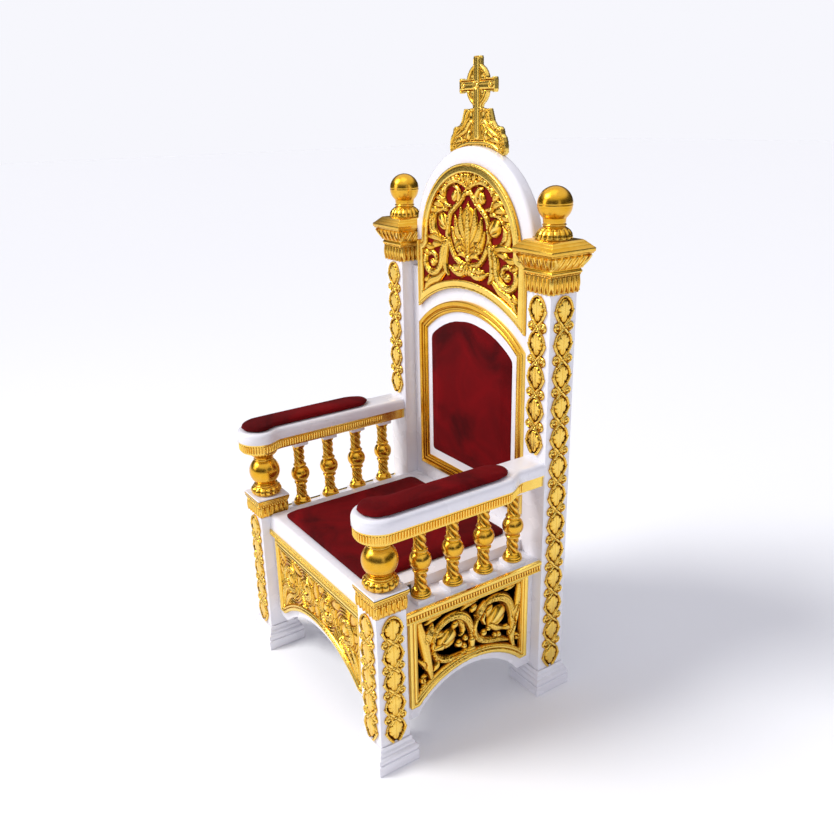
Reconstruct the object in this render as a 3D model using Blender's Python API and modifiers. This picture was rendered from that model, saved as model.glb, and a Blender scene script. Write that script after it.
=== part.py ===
"""Carved altar chair: white lacquered frame, gilt carving and velvet pads.

Metres, +Z up, the seat faces -Y and +X is on the viewer's right.  Sizes are measured from
the floor and from the front face of the front posts; Y_MID then centres the chair.
"""
import math

import bmesh
import bpy
from mathutils import Matrix, Vector

GAP = 0.0003

# Posts, plinths, capitals and finials
WIDTH = 0.7800
BAY = 0.4642
POST = 0.0914
POST_EASE = 0.0015
PLINTH_H = 0.0764
PLINTH_OUT = 0.0179
FRONT_POST_H = 0.4754
FRONT_CAP_H = 0.0646
FRONT_CAP_OUT = 0.0081
REAR_POST_H = 1.2200
REAR_CAP_H = 0.1340
ABACUS_OUT = 0.0301
FINIAL_H = 0.1330
FINIAL_R = 0.0455

# Arms and their balusters
FRONT_BALUSTER_H = 0.1480
FRONT_BALL_R = 0.0478
BALUSTERS = 4
BALUSTER_FRONT_MARGIN = 0.0766
BALUSTER_REAR_MARGIN = 0.0717
BALUSTER_R = 0.0300
BLOCK_H = 0.0140
BLOCK_FOOT = 0.0546
BLOCK_HEAD = 0.0482
ARM_H = 0.0350
ARM_OVERHANG = 0.0260
ARM_SIDE_OUT = 0.0300
ARM_REAR_OUT = 0.0010
ARM_IN = 0.0064
ARM_HEAD_IN = 0.0146
ARM_TRIM_H = 0.0340
ARM_TRIM_IN = 0.0025
ARM_NECK_IN = 0.0090
ARM_PAD_H = 0.0210
ARM_PAD_IN = 0.0125
ARM_PAD_REAR = 0.1156

# Seat box
RAIL_DROP = 0.0567
RAIL_H = 0.0333
RAIL_TRIM_T = 0.0120
DECK_RISE = 0.0086
DECK_T = 0.0540
DECK_SET = 0.0300
DECK_NOSE = 0.0120
FRONT_TRIM_H = 0.0180
SEAT_PAD_H = 0.0210
SEAT_PAD_SIDE = 0.0483
SEAT_PAD_FRONT = 0.0250
SEAT_PAD_REAR = 0.0520
SEAT_PAD_ROUND = 0.0180
BOARD_T = 0.0230
CARVING_T = 0.0125
FRONT_SET = 0.0350
FRONT_FOOT_Z = 0.1150
FRONT_ARCH_RISE = 0.0980
FRONT_FOOT_W = 0.0573
FRONT_CARVING_SIDE = 0.0341
FRONT_CARVING_FOOT = 0.0370
FRONT_CARVING_ARCH = 0.0283
FRONT_BORDER = 0.0240
SIDE_SET = 0.0370
SIDE_FOOT_Z = 0.0860
SIDE_ARCH_RISE = 0.0950
SIDE_FOOT_W = 0.0528
SIDE_CARVING_SIDE = 0.0241
SIDE_CARVING_FOOT = 0.0420
SIDE_CARVING_ARCH = 0.0250
SIDE_BORDER = 0.0300

# Back, from the seat to the top of the arch
BACK_SET = 0.0414
BACK_T = 0.0410
BACK_ROUND = 0.0100
HEAD_IN = 0.0231
HEAD_RISE = 0.0788
SHOULDER_DROP = 0.0150
FRAME_SIDE = 0.0433
FRAME_FOOT = 0.0534
FRAME_H = 0.5966
FRAME_RISE = 0.1044
FRAME_W = 0.0360
FRAME_T = 0.0125
BACK_PAD_SIDE = 0.0500
BACK_PAD_IN = 0.0565
BACK_PAD_T = 0.0220
PAD_FIT = 0.0005
POCKET = 0.0150
TYMP_IN = 0.0450
TYMP_EAR_IN = 0.0210
TYMP_EAR_DROP = 0.0058
TYMP_CLEAR = 0.0380
TYMP_BORDER = 0.0270
BACKING_T = 0.0024
BACKING_IN = 0.0060

# Crest
CREST_H = 0.2314
CREST_T = 0.0190
CREST_BACK = 0.0095
CREST_BASE_X = 0.1190
CREST_BAR = 0.0150
CROSS_RISE = 0.1570
CROSS_X = 0.0730
DISC_X = 0.0400
DISC_H = 0.0510

# Applied strips of linked medallions
STRIP_MARGIN = 0.0122
STRIP_T = 0.0070
STRIP_PITCH = 0.0840
STRIP_END = 0.0050

HALF = POST / 2.0
OUTER_X = WIDTH / 2.0
INNER_X = OUTER_X - POST
POST_X = OUTER_X - HALF
SPAN_X = INNER_X - GAP
REAR_Y = POST + BAY
REAR_FACE_Y = REAR_Y + POST
REAR_MID_Y = REAR_Y + HALF
BAY_Y = POST + BAY / 2.0
BAY_HALF = BAY / 2.0 - GAP
Y_MID = (REAR_FACE_Y + ABACUS_OUT - ARM_OVERHANG) / 2.0
FRONT_CAP_TOP = FRONT_POST_H + FRONT_CAP_H
REAR_CAP_TOP = REAR_POST_H + REAR_CAP_H
TRIM_Z = FRONT_CAP_TOP + FRONT_BALUSTER_H
ARM_Z = TRIM_Z + ARM_TRIM_H
ARM_TOP = ARM_Z + ARM_H
RAIL_Z = FRONT_POST_H - RAIL_DROP
RAIL_TOP = RAIL_Z + RAIL_H
DECK_TOP = FRONT_POST_H + DECK_RISE
DECK_Z = DECK_TOP - DECK_T
BACK_Y = REAR_Y + BACK_SET
HEAD_R = INNER_X - HEAD_IN
HEAD_Z = REAR_POST_H + HEAD_RISE
HEAD_TOP = HEAD_Z + HEAD_R

# Upright faces that a flat piece can be laid on; each turns the drawing's depth outwards
TURNS = {
    "front": (math.pi / 2.0, 0.0, 0.0),
    "right": (math.pi / 2.0, 0.0, math.pi / 2.0),
    "left": (math.pi / 2.0, 0.0, -math.pi / 2.0),
    "plan": (0.0, 0.0, 0.0),
}
SIDES = ((1, "right"), (-1, "left"))

for old in list(bpy.data.objects):
    bpy.data.objects.remove(old, do_unlink=True)
chair = bpy.data.collections.new("altar_chair")
cutters = bpy.data.collections.new("cutters")
for group in (chair, cutters):
    bpy.context.scene.collection.children.link(group)

WHITE = ("white_lacquer", (0.86, 0.86, 0.86), 0.30, 0.0)
GILT = ("gold_leaf", (0.85, 0.55, 0.10), 0.25, 1.0)
VELVET = ("crimson_velvet", (0.20, 0.004, 0.008), 0.90, 0.0)
RED = ("red_backing", (0.24, 0.010, 0.012), 0.60, 0.0)


def finish(obj, look):
    """Give a piece its own material and put it in the chair's collection."""
    label, rgb, roughness, metallic = look
    mat = bpy.data.materials.new(obj.name + "_" + label)
    mat.use_nodes = True
    shader = mat.node_tree.nodes["Principled BSDF"]
    shader.inputs["Base Color"].default_value = (*rgb, 1.0)
    shader.inputs["Roughness"].default_value = roughness
    shader.inputs["Metallic"].default_value = metallic
    obj.data.materials.append(mat)
    chair.objects.link(obj)


def cutter(obj):
    obj.hide_render = True
    obj.display_type = 'WIRE'
    cutters.objects.link(obj)
    return obj


def combine(obj, tool, operation):
    boolean = obj.modifiers.new(operation.title(), 'BOOLEAN')
    boolean.operation = operation
    boolean.solver = 'EXACT'
    boolean.object = cutter(tool)


def merge_flats(obj):
    merge = obj.modifiers.new("Merge flats", 'DECIMATE')
    merge.decimate_type = 'DISSOLVE'
    merge.angle_limit = math.radians(0.2)


# Makers of plain shapes
def boxes(name, spans):
    """One mesh of upright boxes, each given as its low and high corner."""
    bm = bmesh.new()
    for low, high in spans:
        size = Vector(high) - Vector(low)
        middle = (Vector(high) + Vector(low)) / 2.0
        bmesh.ops.create_cube(bm, size=1.0, matrix=Matrix.LocRotScale(middle, None, size))
    mesh = bpy.data.meshes.new(name)
    bm.to_mesh(mesh)
    bm.free()
    obj = bpy.data.objects.new(name, mesh)
    obj.location.y = -Y_MID
    return obj


def turned(name, x, y, profile, steps, look):
    """Screw a profile of (radius, height) pairs, lowest first, about an upright axis."""
    top = profile[-1][1]
    base = profile[0][1]
    points = [(0.0, 0.0, top)] + [(r, 0.0, z) for r, z in reversed(profile)] + [(0.0, 0.0, base)]
    mesh = bpy.data.meshes.new(name)
    mesh.from_pydata(points, [(i, i + 1) for i in range(len(points) - 1)], [])
    obj = bpy.data.objects.new(name, mesh)
    obj.location = (x, y - Y_MID, 0.0)
    screw = obj.modifiers.new("Screw", 'SCREW')
    screw.steps = steps
    screw.render_steps = steps
    screw.use_merge_vertices = True
    screw.merge_threshold = 0.00001
    finish(obj, look)
    return obj


def square_turned(name, x, y, levels, look):
    """Moulding with a square plan: a screw of four steps, turned so that its sides face out."""
    profile = [(half * math.sqrt(2.0), z) for half, z in levels]
    obj = turned(name, x, y, profile, 4, look)
    obj.rotation_euler.z = math.pi / 4.0


def flat(name, outlines, face, near, far):
    """Filled outline between two depths on a face; further outlines inside it are holes."""
    curve = bpy.data.curves.new(name, 'CURVE')
    curve.dimensions = '2D'
    curve.fill_mode = 'BOTH'
    curve.extrude = abs(far - near) / 2.0
    turn = -1.0 if face == "left" else 1.0
    for outline in outlines:
        spline = curve.splines.new('POLY')
        spline.points.add(len(outline) - 1)
        for point, (u, v) in zip(spline.points, outline):
            point.co = (turn * u, v, 0.0, 1.0)
        spline.use_cyclic_u = True
    depth = (near + far) / 2.0
    places = {
        "front": (0.0, depth - Y_MID, 0.0),
        "right": (depth, -Y_MID, 0.0),
        "left": (-depth, -Y_MID, 0.0),
        "plan": (0.0, -Y_MID, depth),
    }
    obj = bpy.data.objects.new(name, curve)
    obj.location = places[face]
    obj.rotation_euler = TURNS[face]
    return obj


def solid(source):
    """Mesh of a filled curve with its loose caps welded on."""
    name = source.name
    cutters.objects.link(source)
    bpy.context.view_layer.update()
    place = source.matrix_world.copy()
    mesh = bpy.data.meshes.new_from_object(source.evaluated_get(bpy.context.evaluated_depsgraph_get()))
    bpy.data.objects.remove(source)
    bm = bmesh.new()
    bm.from_mesh(mesh)
    bmesh.ops.remove_doubles(bm, verts=bm.verts, dist=0.00001)
    bm.to_mesh(mesh)
    bm.free()
    obj = bpy.data.objects.new(name, mesh)
    obj.matrix_world = place
    return obj


def slab(name, outline, face, near, far, look):
    finish(flat(name, [outline], face, near, far), look)


def carved_plate(name, outer, inner, holes, face, back, field, border, look):
    """Openwork panel as deep as field, inside a raised border as deep as border."""
    plate = solid(flat(name, [outer] + holes, face, back, border))
    clear = border + (border - field)
    combine(plate, solid(flat(name + "_field", [inner], face, field, clear)), 'DIFFERENCE')
    merge_flats(plate)
    finish(plate, look)


def skin(rings, closed):
    """Quads between a stack of unlike loops, with flat caps unless the stack is closed."""
    bm = bmesh.new()
    loops = [[bm.verts.new(point) for point in ring] for ring in rings]
    nexts = loops[1:] + loops[:1] if closed else loops[1:]
    for low, high in zip(loops, nexts):
        for i in range(len(low)):
            j = (i + 1) % len(low)
            bm.faces.new((low[i], low[j], high[j], high[i]))
    if not closed:
        bm.faces.new(loops[0])
        bm.faces.new(loops[-1])
    bmesh.ops.recalc_face_normals(bm, faces=bm.faces)
    return bm


def loft(name, rings, closed=False):
    bm = skin(rings, closed)
    mesh = bpy.data.meshes.new(name)
    bm.to_mesh(mesh)
    bm.free()
    obj = bpy.data.objects.new(name, mesh)
    obj.location.y = -Y_MID
    return obj


# Outlines
def arc(cu, cv, radius, start, end, steps):
    """Points on a circle between two angles in degrees, both ends included."""
    points = []
    for i in range(steps + 1):
        angle = math.radians(start + (end - start) * i / steps)
        points.append((cu + radius * math.cos(angle), cv + radius * math.sin(angle)))
    return points


def chord_radius(half, rise):
    return (half * half + rise * rise) / (2.0 * rise)


def flip(points):
    return [(-u, v) for u, v in reversed(points)]


def both(holes):
    return holes + [flip(hole) for hole in holes]


def shift(points, amount):
    return [(u + amount, v) for u, v in points]


def crescent(cu, cv, radius, start, end, width):
    """Sickle-shaped opening along part of a circle, pointed at both ends."""
    steps = 3
    outside = []
    inside = []
    for i in range(steps + 1):
        angle = math.radians(start + (end - start) * i / steps)
        swell = 0.5 * width * math.sin(math.pi * i / steps)
        outside.append((cu + (radius + swell) * math.cos(angle), cv + (radius + swell) * math.sin(angle)))
        inside.append((cu + (radius - swell) * math.cos(angle), cv + (radius - swell) * math.sin(angle)))
    return outside + inside[-2:0:-1]


def leaf(cu, cv, length, width, angle):
    """Pointed oval opening turned to an angle in degrees."""
    turn = math.radians(angle)
    points = []
    for t, s in ((-1.0, 0.0), (-0.4, -0.9), (0.4, -0.9), (1.0, 0.0), (0.4, 0.9), (-0.4, 0.9)):
        along = 0.5 * length * t
        across = 0.5 * width * s
        u = cu + along * math.cos(turn) - across * math.sin(turn)
        v = cv + along * math.sin(turn) + across * math.cos(turn)
        points.append((u, v))
    return points


def scaled(holes, unit, cu, cv):
    """Draw a pattern at its real size: unit is one drawing unit, (cu, cv) its middle."""
    return [[(cu + unit * u, cv + unit * v) for u, v in hole] for hole in holes]


def arched_foot(half, foot, foot_half, arch, top, steps):
    """Board outline with two feet and a segmental arch cut from its lower edge."""
    radius = chord_radius(foot_half, arch - foot)
    spread = math.degrees(math.asin(foot_half / radius))
    curve = arc(0.0, arch - radius, radius, 90.0 + spread, 90.0 - spread, steps)
    return [(-half, foot)] + curve + [(half, foot), (half, top), (-half, top)]


def arched_panel(half, low, radius, centre, steps):
    """Upright panel with square lower corners and a segmental arch on top."""
    spread = math.degrees(math.asin(half / radius))
    return [(-half, low), (half, low)] + arc(0.0, centre, radius, 90.0 - spread, 90.0 + spread, steps)


def rounded_rect(half, low, high, radius):
    points = []
    for cx, cy, start in ((half - radius, high - radius, 0.0), (radius - half, high - radius, 90.0),
                          (radius - half, low + radius, 180.0), (half - radius, low + radius, 270.0)):
        points += arc(cx, cy, radius, start, start + 90.0, 3)
    return points


def shrink(points, depth):
    """Scale a closed outline towards its middle so that each side comes in by depth."""
    xs = [p[0] for p in points]
    ys = [p[1] for p in points]
    cx = (min(xs) + max(xs)) / 2.0
    cy = (min(ys) + max(ys)) / 2.0
    fx = 1.0 - depth / (max(xs) - cx)
    fy = 1.0 - depth / (max(ys) - cy)
    return [(cx + (x - cx) * fx, cy + (y - cy) * fy) for x, y in points]


def plan(side, points, z):
    return [(side * x, y, z) for x, y in points]


def upright(points, y):
    return [(u, y, v) for u, v in points]


# Mouldings, as (half width or radius, height) pairs
def plinth_levels():
    full = HALF + PLINTH_OUT
    shares = ((0.0, 0.0), (0.0, 0.41), (0.20, 0.45), (0.06, 0.52), (0.20, 0.66),
              (0.45, 0.69), (0.47, 0.80), (0.78, 1.0))
    return [(full - PLINTH_OUT * inset, PLINTH_H * rise) for inset, rise in shares]


def capital_levels(out, low, height, shares):
    return [(HALF + out * share, low + height * rise) for share, rise in shares]


def ball_profile(radius, z, low_deg, high_deg, steps):
    return arc(0.0, z, radius, low_deg, high_deg, steps)


def finial_profile():
    base = REAR_CAP_TOP + GAP
    ring_h = 0.075 * FINIAL_H
    neck_h = 0.26 * FINIAL_H
    shares = ((1.04, 0.0), (1.07, 0.3 * ring_h), (1.07, ring_h), (0.92, 0.60 * neck_h),
              (0.72, 0.82 * neck_h), (0.60, neck_h))
    ball_z = REAR_CAP_TOP + FINIAL_H - FINIAL_R
    rings = [(FINIAL_R * share, base + rise) for share, rise in shares]
    return rings + ball_profile(FINIAL_R, ball_z, -52.0, 82.0, 6)


def ball_baluster_profile():
    r = FRONT_BALL_R
    base = FRONT_CAP_TOP + GAP
    top = TRIM_Z - GAP
    ball_z = base + 0.508 * FRONT_BALUSTER_H
    foot = ((0.84, 0.0), (0.99, 0.04), (1.01, 0.09), (0.94, 0.145), (0.66, 0.225))
    head = ((0.58, 0.80), (0.70, 0.88), (0.94, 0.945))
    rings = [(r * share, base + FRONT_BALUSTER_H * rise) for share, rise in foot]
    rings += ball_profile(r, ball_z, -50.0, 54.0, 6)
    rings += [(r * share, base + FRONT_BALUSTER_H * rise) for share, rise in head]
    return rings + [(0.98 * r, top)]


BLOCK_BASE = RAIL_TOP + BLOCK_H
BLOCK_TOP = TRIM_Z - BLOCK_H


def twist_baluster_profile():
    r = BALUSTER_R
    base = BLOCK_BASE + GAP
    height = BLOCK_TOP - GAP - base
    ball_z = base + 0.51 * height
    foot = ((0.92, 0.0), (0.90, 0.05), (0.60, 0.13))
    rings = [(r * share, base + height * rise) for share, rise in foot]
    rings += [(0.62 * r, ball_z - 1.05 * r)] + ball_profile(r, ball_z, -42.0, 42.0, 3) + [(0.62 * r, ball_z + 1.05 * r)]
    return rings + [(0.70 * r, base + height)]


FRONT_CAPITAL = ((0.55, 0.0), (0.85, 0.06), (0.85, 0.50), (0.60, 0.56), (1.0, 0.66), (1.0, 0.94), (0.70, 1.0))
REAR_CAPITAL = ((0.14, 0.0), (0.21, 0.02), (0.21, 0.30), (0.15, 0.33), (0.26, 0.37), (0.26, 0.41), (0.18, 0.45),
                (0.38, 0.53), (0.66, 0.63), (0.84, 0.73), (0.90, 0.76), (1.0, 0.79), (1.0, 0.85), (0.24, 1.0))

# Posts with their plinths, capitals and finials
for side, mark in SIDES:
    x = side * POST_X
    for row, y, height in (("front", HALF, FRONT_POST_H), ("rear", REAR_MID_Y, REAR_POST_H)):
        square_turned("plinth_%s_%s" % (row, mark), x, y, plinth_levels(), WHITE)
        span = ((x - HALF, y - HALF, PLINTH_H + GAP), (x + HALF, y + HALF, height - GAP))
        post = boxes("post_%s_%s" % (row, mark), [span])
        bevel = post.modifiers.new("Bevel", 'BEVEL')
        bevel.width = POST_EASE
        bevel.segments = 1
        finish(post, WHITE)
    levels = capital_levels(FRONT_CAP_OUT, FRONT_POST_H, FRONT_CAP_H, FRONT_CAPITAL)
    square_turned("capital_front_" + mark, x, HALF, levels, GILT)
    levels = capital_levels(ABACUS_OUT, REAR_POST_H, REAR_CAP_H, REAR_CAPITAL)
    square_turned("capital_rear_" + mark, x, REAR_MID_Y, levels, GILT)
    turned("finial_" + mark, x, REAR_MID_Y, finial_profile(), 10, GILT)

# Balusters under the arms
FIRST_Y = POST + BALUSTER_FRONT_MARGIN
LAST_Y = REAR_Y - BALUSTER_REAR_MARGIN
BALUSTER_YS = [FIRST_Y + (LAST_Y - FIRST_Y) * i / (BALUSTERS - 1) for i in range(BALUSTERS)]

for side, mark in SIDES:
    turned("ball_baluster_" + mark, side * POST_X, HALF, ball_baluster_profile(), 12, GILT)
    for i, y in enumerate(BALUSTER_YS):
        name = "twist_baluster_%s_%d" % (mark, i + 1)
        turned(name, side * POST_X, y, twist_baluster_profile(), 8, GILT)

# Arm rails: one plan, set in by a different amount for every level
ARM_OUT_X = OUTER_X + ARM_SIDE_OUT
ARM_REAR_X = OUTER_X + ARM_REAR_OUT
ARM_IN_X = INNER_X + ARM_IN
ARM_HEAD_X = INNER_X - ARM_HEAD_IN
PAD_END_Y = REAR_Y - ARM_PAD_REAR
PAD_TAIL = 0.12 * BAY
NARROW_Y = REAR_Y - 0.167 * BAY
WIDE_Y = REAR_Y - 0.314 * BAY
NECK_L = 0.0550


def ease(t):
    return t * t * (3.0 - 2.0 * t)


def arm_path():
    """Plan of the arm from its outer rear corner round the head to the inner rear corner."""
    half = (ARM_OUT_X - ARM_HEAD_X) / 2.0
    middle = (ARM_OUT_X + ARM_HEAD_X) / 2.0
    head_y = half - ARM_OVERHANG
    path = [(ARM_REAR_X, REAR_Y - GAP)]
    for i in range(5):
        t = i / 4.0
        path.append((ARM_REAR_X + (ARM_OUT_X - ARM_REAR_X) * ease(t), NARROW_Y + (WIDE_Y - NARROW_Y) * t))
    path += [(middle + half * math.cos(a), head_y - half * math.sin(a))
             for a in (math.pi * i / 8.0 for i in range(9))]
    for i in range(1, 4):
        t = i / 3.0
        path.append((ARM_HEAD_X + (ARM_IN_X - ARM_HEAD_X) * ease(t), head_y + NECK_L * t))
    path.append((ARM_IN_X, REAR_Y - GAP))
    return path


def set_in(path, depth):
    """Move an open path inwards by depth, keeping the y of both ends."""
    moved = []
    last = len(path) - 1
    for i, (x, y) in enumerate(path):
        here = Vector((x, y))
        before = here - Vector(path[i - 1]) if i else Vector(path[1]) - here
        after = Vector(path[i + 1]) - here if i < last else before
        before.normalize()
        after.normalize()
        normal = Vector((before.y + after.y, -before.x - after.x)).normalized()
        reach = depth / max(normal.dot(Vector((before.y, -before.x))), 0.5)
        moved.append((x + normal.x * reach, y if i in (0, last) else y + normal.y * reach))
    return moved


ARM = arm_path()
ARM_LEVELS = (
    (0.34 * ARM_H, ARM_TOP),
    (0.17 * ARM_H, ARM_TOP - 0.04 * ARM_H),
    (0.05 * ARM_H, ARM_TOP - 0.20 * ARM_H),
    (0.0, ARM_TOP - 0.46 * ARM_H),
    (0.0, ARM_Z),
)
PUFF = ((0.0, 0.0), (0.0, 0.30), (0.07, 0.62), (0.38, 0.88), (0.95, 1.0))


def puffed(side, outline, low, height):
    """Soft pad: the outline shrinks as the pad rises to its crown."""
    return loft_rings(side, outline, [(height * inset, low + height * rise) for inset, rise in PUFF])


def loft_rings(side, outline, levels):
    return [plan(side, shrink(outline, depth), z) for depth, z in levels]


def pad_outline():
    """Plan of the arm pad: the arm set in, closed by a half round at the rear."""
    path = [p for p in set_in(ARM, ARM_PAD_IN) if p[1] < PAD_END_Y - PAD_TAIL]
    half = (path[0][0] - path[-1][0]) / 2.0
    middle = (path[0][0] + path[-1][0]) / 2.0
    tail = []
    for i in range(7):
        angle = math.pi * i / 6.0
        tail.append((middle - half * math.cos(angle), PAD_END_Y - PAD_TAIL * (1.0 - math.sin(angle))))
    return path + tail


def block_spans(side, size, low, high):
    half = size / 2.0
    x = side * POST_X
    return [((x - half, y - half, low), (x + half, y + half, high)) for y in BALUSTER_YS]


for side, mark in SIDES:
    rail = loft("arm_rail_" + mark, [plan(side, set_in(ARM, depth), z) for depth, z in ARM_LEVELS])
    neck = plan(side, set_in(ARM, ARM_NECK_IN), TRIM_Z)
    neck = flat("arm_neck_" + mark, [[(x, y) for x, y, z in neck]], "plan", TRIM_Z, ARM_Z + 0.3 * ARM_H)
    combine(rail, solid(neck), 'UNION')
    blocks = boxes("arm_blocks_" + mark, block_spans(side, BLOCK_HEAD, BLOCK_TOP, TRIM_Z + BLOCK_H / 2.0))
    combine(rail, blocks, 'UNION')
    merge_flats(rail)
    finish(rail, WHITE)
    band = set_in(ARM, ARM_TRIM_IN) + list(reversed(set_in(ARM, ARM_NECK_IN - GAP)))
    slab("arm_trim_" + mark, [(side * x, y) for x, y in band], "plan", TRIM_Z, ARM_Z - GAP, GILT)
    pad = loft("arm_pad_" + mark, puffed(side, pad_outline(), ARM_TOP + GAP, ARM_PAD_H))
    finish(pad, VELVET)

# Seat box: rails and trims, boards with their carved panels, deck and pad
TRIM_STEPS = ((0.0, 0.0), (0.93, 0.0), (0.93, 0.14), (0.70, 0.20), (0.70, 0.62), (1.0, 0.68), (1.0, 1.0), (0.0, 1.0))


def trim_outline(near, far, low, height):
    return [(near + (far - near) * u, low + height * v) for u, v in TRIM_STEPS]


def side_holes(low, high):
    """Openings round the two leaf scrolls of a side panel, mirrored about its middle."""
    half = [
        crescent(-0.085, 0.0, 0.052, 100.0, 215.0, 0.017),
        crescent(-0.085, 0.0, 0.050, 240.0, 330.0, 0.014),
        crescent(-0.085, 0.0, 0.029, -30.0, 80.0, 0.014),
        leaf(-0.152, 0.052, 0.034, 0.012, 140.0),
        leaf(-0.160, -0.085, 0.060, 0.012, 76.0),
    ]
    middle = [leaf(0.0, 0.056, 0.034, 0.016, 90.0), leaf(0.0, -0.022, 0.034, 0.013, 90.0)]
    half_w = BAY_HALF - SIDE_CARVING_SIDE - SIDE_BORDER
    unit = min(half_w / 0.178, (high - low) / 0.167)
    return scaled(both(half) + middle, unit, BAY_Y, high - 0.094 * unit)


RAIL_OUT_X = OUTER_X - RAIL_TRIM_T
SIDE_X = OUTER_X - SIDE_SET
SIDE_ARCH_Z = SIDE_FOOT_Z + SIDE_ARCH_RISE
SIDE_BOARD = shift(arched_foot(BAY_HALF, SIDE_FOOT_Z, BAY_HALF - SIDE_FOOT_W, SIDE_ARCH_Z,
                               RAIL_Z - GAP, 8), BAY_Y)
side_half = BAY_HALF - SIDE_CARVING_SIDE
side_foot = SIDE_FOOT_Z + SIDE_CARVING_FOOT
side_arch = SIDE_ARCH_Z + SIDE_CARVING_ARCH
side_low = side_arch + SIDE_BORDER / 2.0
side_high = RAIL_Z - SIDE_BORDER
SIDE_OUTLINE = shift(arched_foot(side_half, side_foot, side_half - 0.9 * SIDE_BORDER, side_arch,
                                 RAIL_Z - GAP, 8), BAY_Y)
SIDE_FIELD = shift(arched_foot(side_half - SIDE_BORDER, side_foot + 1.2 * SIDE_BORDER,
                               side_half - 1.3 * SIDE_BORDER, side_low, side_high, 8), BAY_Y)

for side, mark in SIDES:
    low_x, high_x = sorted((side * (INNER_X + GAP), side * RAIL_OUT_X))
    span = ((low_x, BAY_Y - BAY_HALF, RAIL_Z), (high_x, BAY_Y + BAY_HALF, RAIL_TOP))
    rail = boxes("side_rail_" + mark, [span])
    blocks = boxes("rail_blocks_" + mark, block_spans(side, BLOCK_FOOT, RAIL_TOP - BLOCK_H / 2.0, BLOCK_BASE))
    combine(rail, blocks, 'UNION')
    finish(rail, WHITE)
    outline = [(side * u, v) for u, v in trim_outline(RAIL_OUT_X + GAP, OUTER_X, RAIL_Z, RAIL_H)]
    slab("side_trim_" + mark, outline, "front", BAY_Y - BAY_HALF, BAY_Y + BAY_HALF, GILT)
    slab("side_board_" + mark, SIDE_BOARD, mark, SIDE_X - BOARD_T, SIDE_X, WHITE)
    back = SIDE_X + GAP
    carved_plate("side_carving_" + mark, SIDE_OUTLINE, SIDE_FIELD, side_holes(side_low, side_high), mark,
                 back, back + 0.68 * CARVING_T, back + CARVING_T, GILT)


def front_holes(low, high):
    """Openings round the scrolls of the front apron, mirrored about its middle."""
    half = [
        crescent(0.168, -0.024, 0.042, 60.0, 190.0, 0.014),
        crescent(0.168, -0.024, 0.040, 230.0, 340.0, 0.012),
        crescent(0.070, 0.006, 0.034, 110.0, 240.0, 0.013),
        crescent(0.070, 0.006, 0.032, -70.0, 60.0, 0.011),
        leaf(0.122, 0.028, 0.030, 0.012, 100.0),
        leaf(0.218, -0.074, 0.044, 0.012, 105.0),
        leaf(0.113, -0.046, 0.034, 0.011, 40.0),
    ]
    middle = [leaf(0.0, 0.028, 0.036, 0.013, 90.0), leaf(0.0, -0.034, 0.026, 0.011, 90.0)]
    half_w = SPAN_X - FRONT_CARVING_SIDE - FRONT_BORDER
    unit = min(half_w / 0.240, (high - low) / 0.122)
    return scaled(both(half) + middle, unit, 0.0, high - 0.061 * unit)


FRONT_ARCH_Z = FRONT_FOOT_Z + FRONT_ARCH_RISE
FRONT_BOARD = arched_foot(SPAN_X, FRONT_FOOT_Z, SPAN_X - FRONT_FOOT_W, FRONT_ARCH_Z, DECK_Z - GAP, 12)
REAR_BOARD_Y = BACK_Y + (BACK_T - BOARD_T) / 2.0
slab("front_board", FRONT_BOARD, "front", FRONT_SET, FRONT_SET + BOARD_T, WHITE)
slab("rear_board", FRONT_BOARD, "front", REAR_BOARD_Y, REAR_BOARD_Y + BOARD_T, WHITE)

trim_low = DECK_Z - GAP - FRONT_TRIM_H
trim_face = trim_outline(FRONT_SET - GAP, FRONT_SET - CARVING_T, trim_low, FRONT_TRIM_H)
slab("front_trim", trim_face, "right", -SPAN_X, SPAN_X, GILT)

front_half = SPAN_X - FRONT_CARVING_SIDE
front_foot = FRONT_FOOT_Z + FRONT_CARVING_FOOT
front_arch = FRONT_ARCH_Z + FRONT_CARVING_ARCH
front_top = trim_low - GAP
front_low = front_arch + 0.9 * FRONT_BORDER
front_high = front_top - FRONT_BORDER
FRONT_OUTLINE = arched_foot(front_half, front_foot, front_half - 1.33 * FRONT_BORDER, front_arch, front_top, 10)
FRONT_FIELD = arched_foot(front_half - FRONT_BORDER, front_foot + 1.5 * FRONT_BORDER,
                          front_half - 1.42 * FRONT_BORDER, front_low, front_high, 10)
back = FRONT_SET - GAP
carved_plate("front_carving", FRONT_OUTLINE, FRONT_FIELD, front_holes(front_low, front_high), "front",
             back, back - 0.68 * CARVING_T, back - CARVING_T, GILT)


def nose_y(z):
    """Front of the deck at a height, with its rounded upper edge."""
    rise = max(z - (DECK_TOP - DECK_NOSE), 0.0)
    return DECK_SET + DECK_NOSE - math.sqrt(max(DECK_NOSE ** 2 - rise ** 2, 0.0))


def deck_ring(z):
    """Plan of the deck at a height, narrower where it passes between the front capitals."""
    step_y = POST + FRONT_CAP_OUT + GAP
    between = z > FRONT_POST_H - 1.5 * GAP
    front_x = SPAN_X - FRONT_CAP_OUT if between else SPAN_X
    turn_y = step_y if between else 0.7 * step_y
    right = [(front_x, nose_y(z)), (front_x, turn_y), (SPAN_X, step_y), (SPAN_X, BACK_Y + BACK_T)]
    return plan(1, right + flip(right), z)


deck_zs = [DECK_Z, FRONT_POST_H - 2.0 * GAP, FRONT_POST_H - GAP]
deck_zs += [DECK_TOP - DECK_NOSE * share for share in (1.0, 0.42, 0.14, 0.0)]
finish(loft("seat_deck", [deck_ring(z) for z in sorted(deck_zs)]), WHITE)

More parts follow.
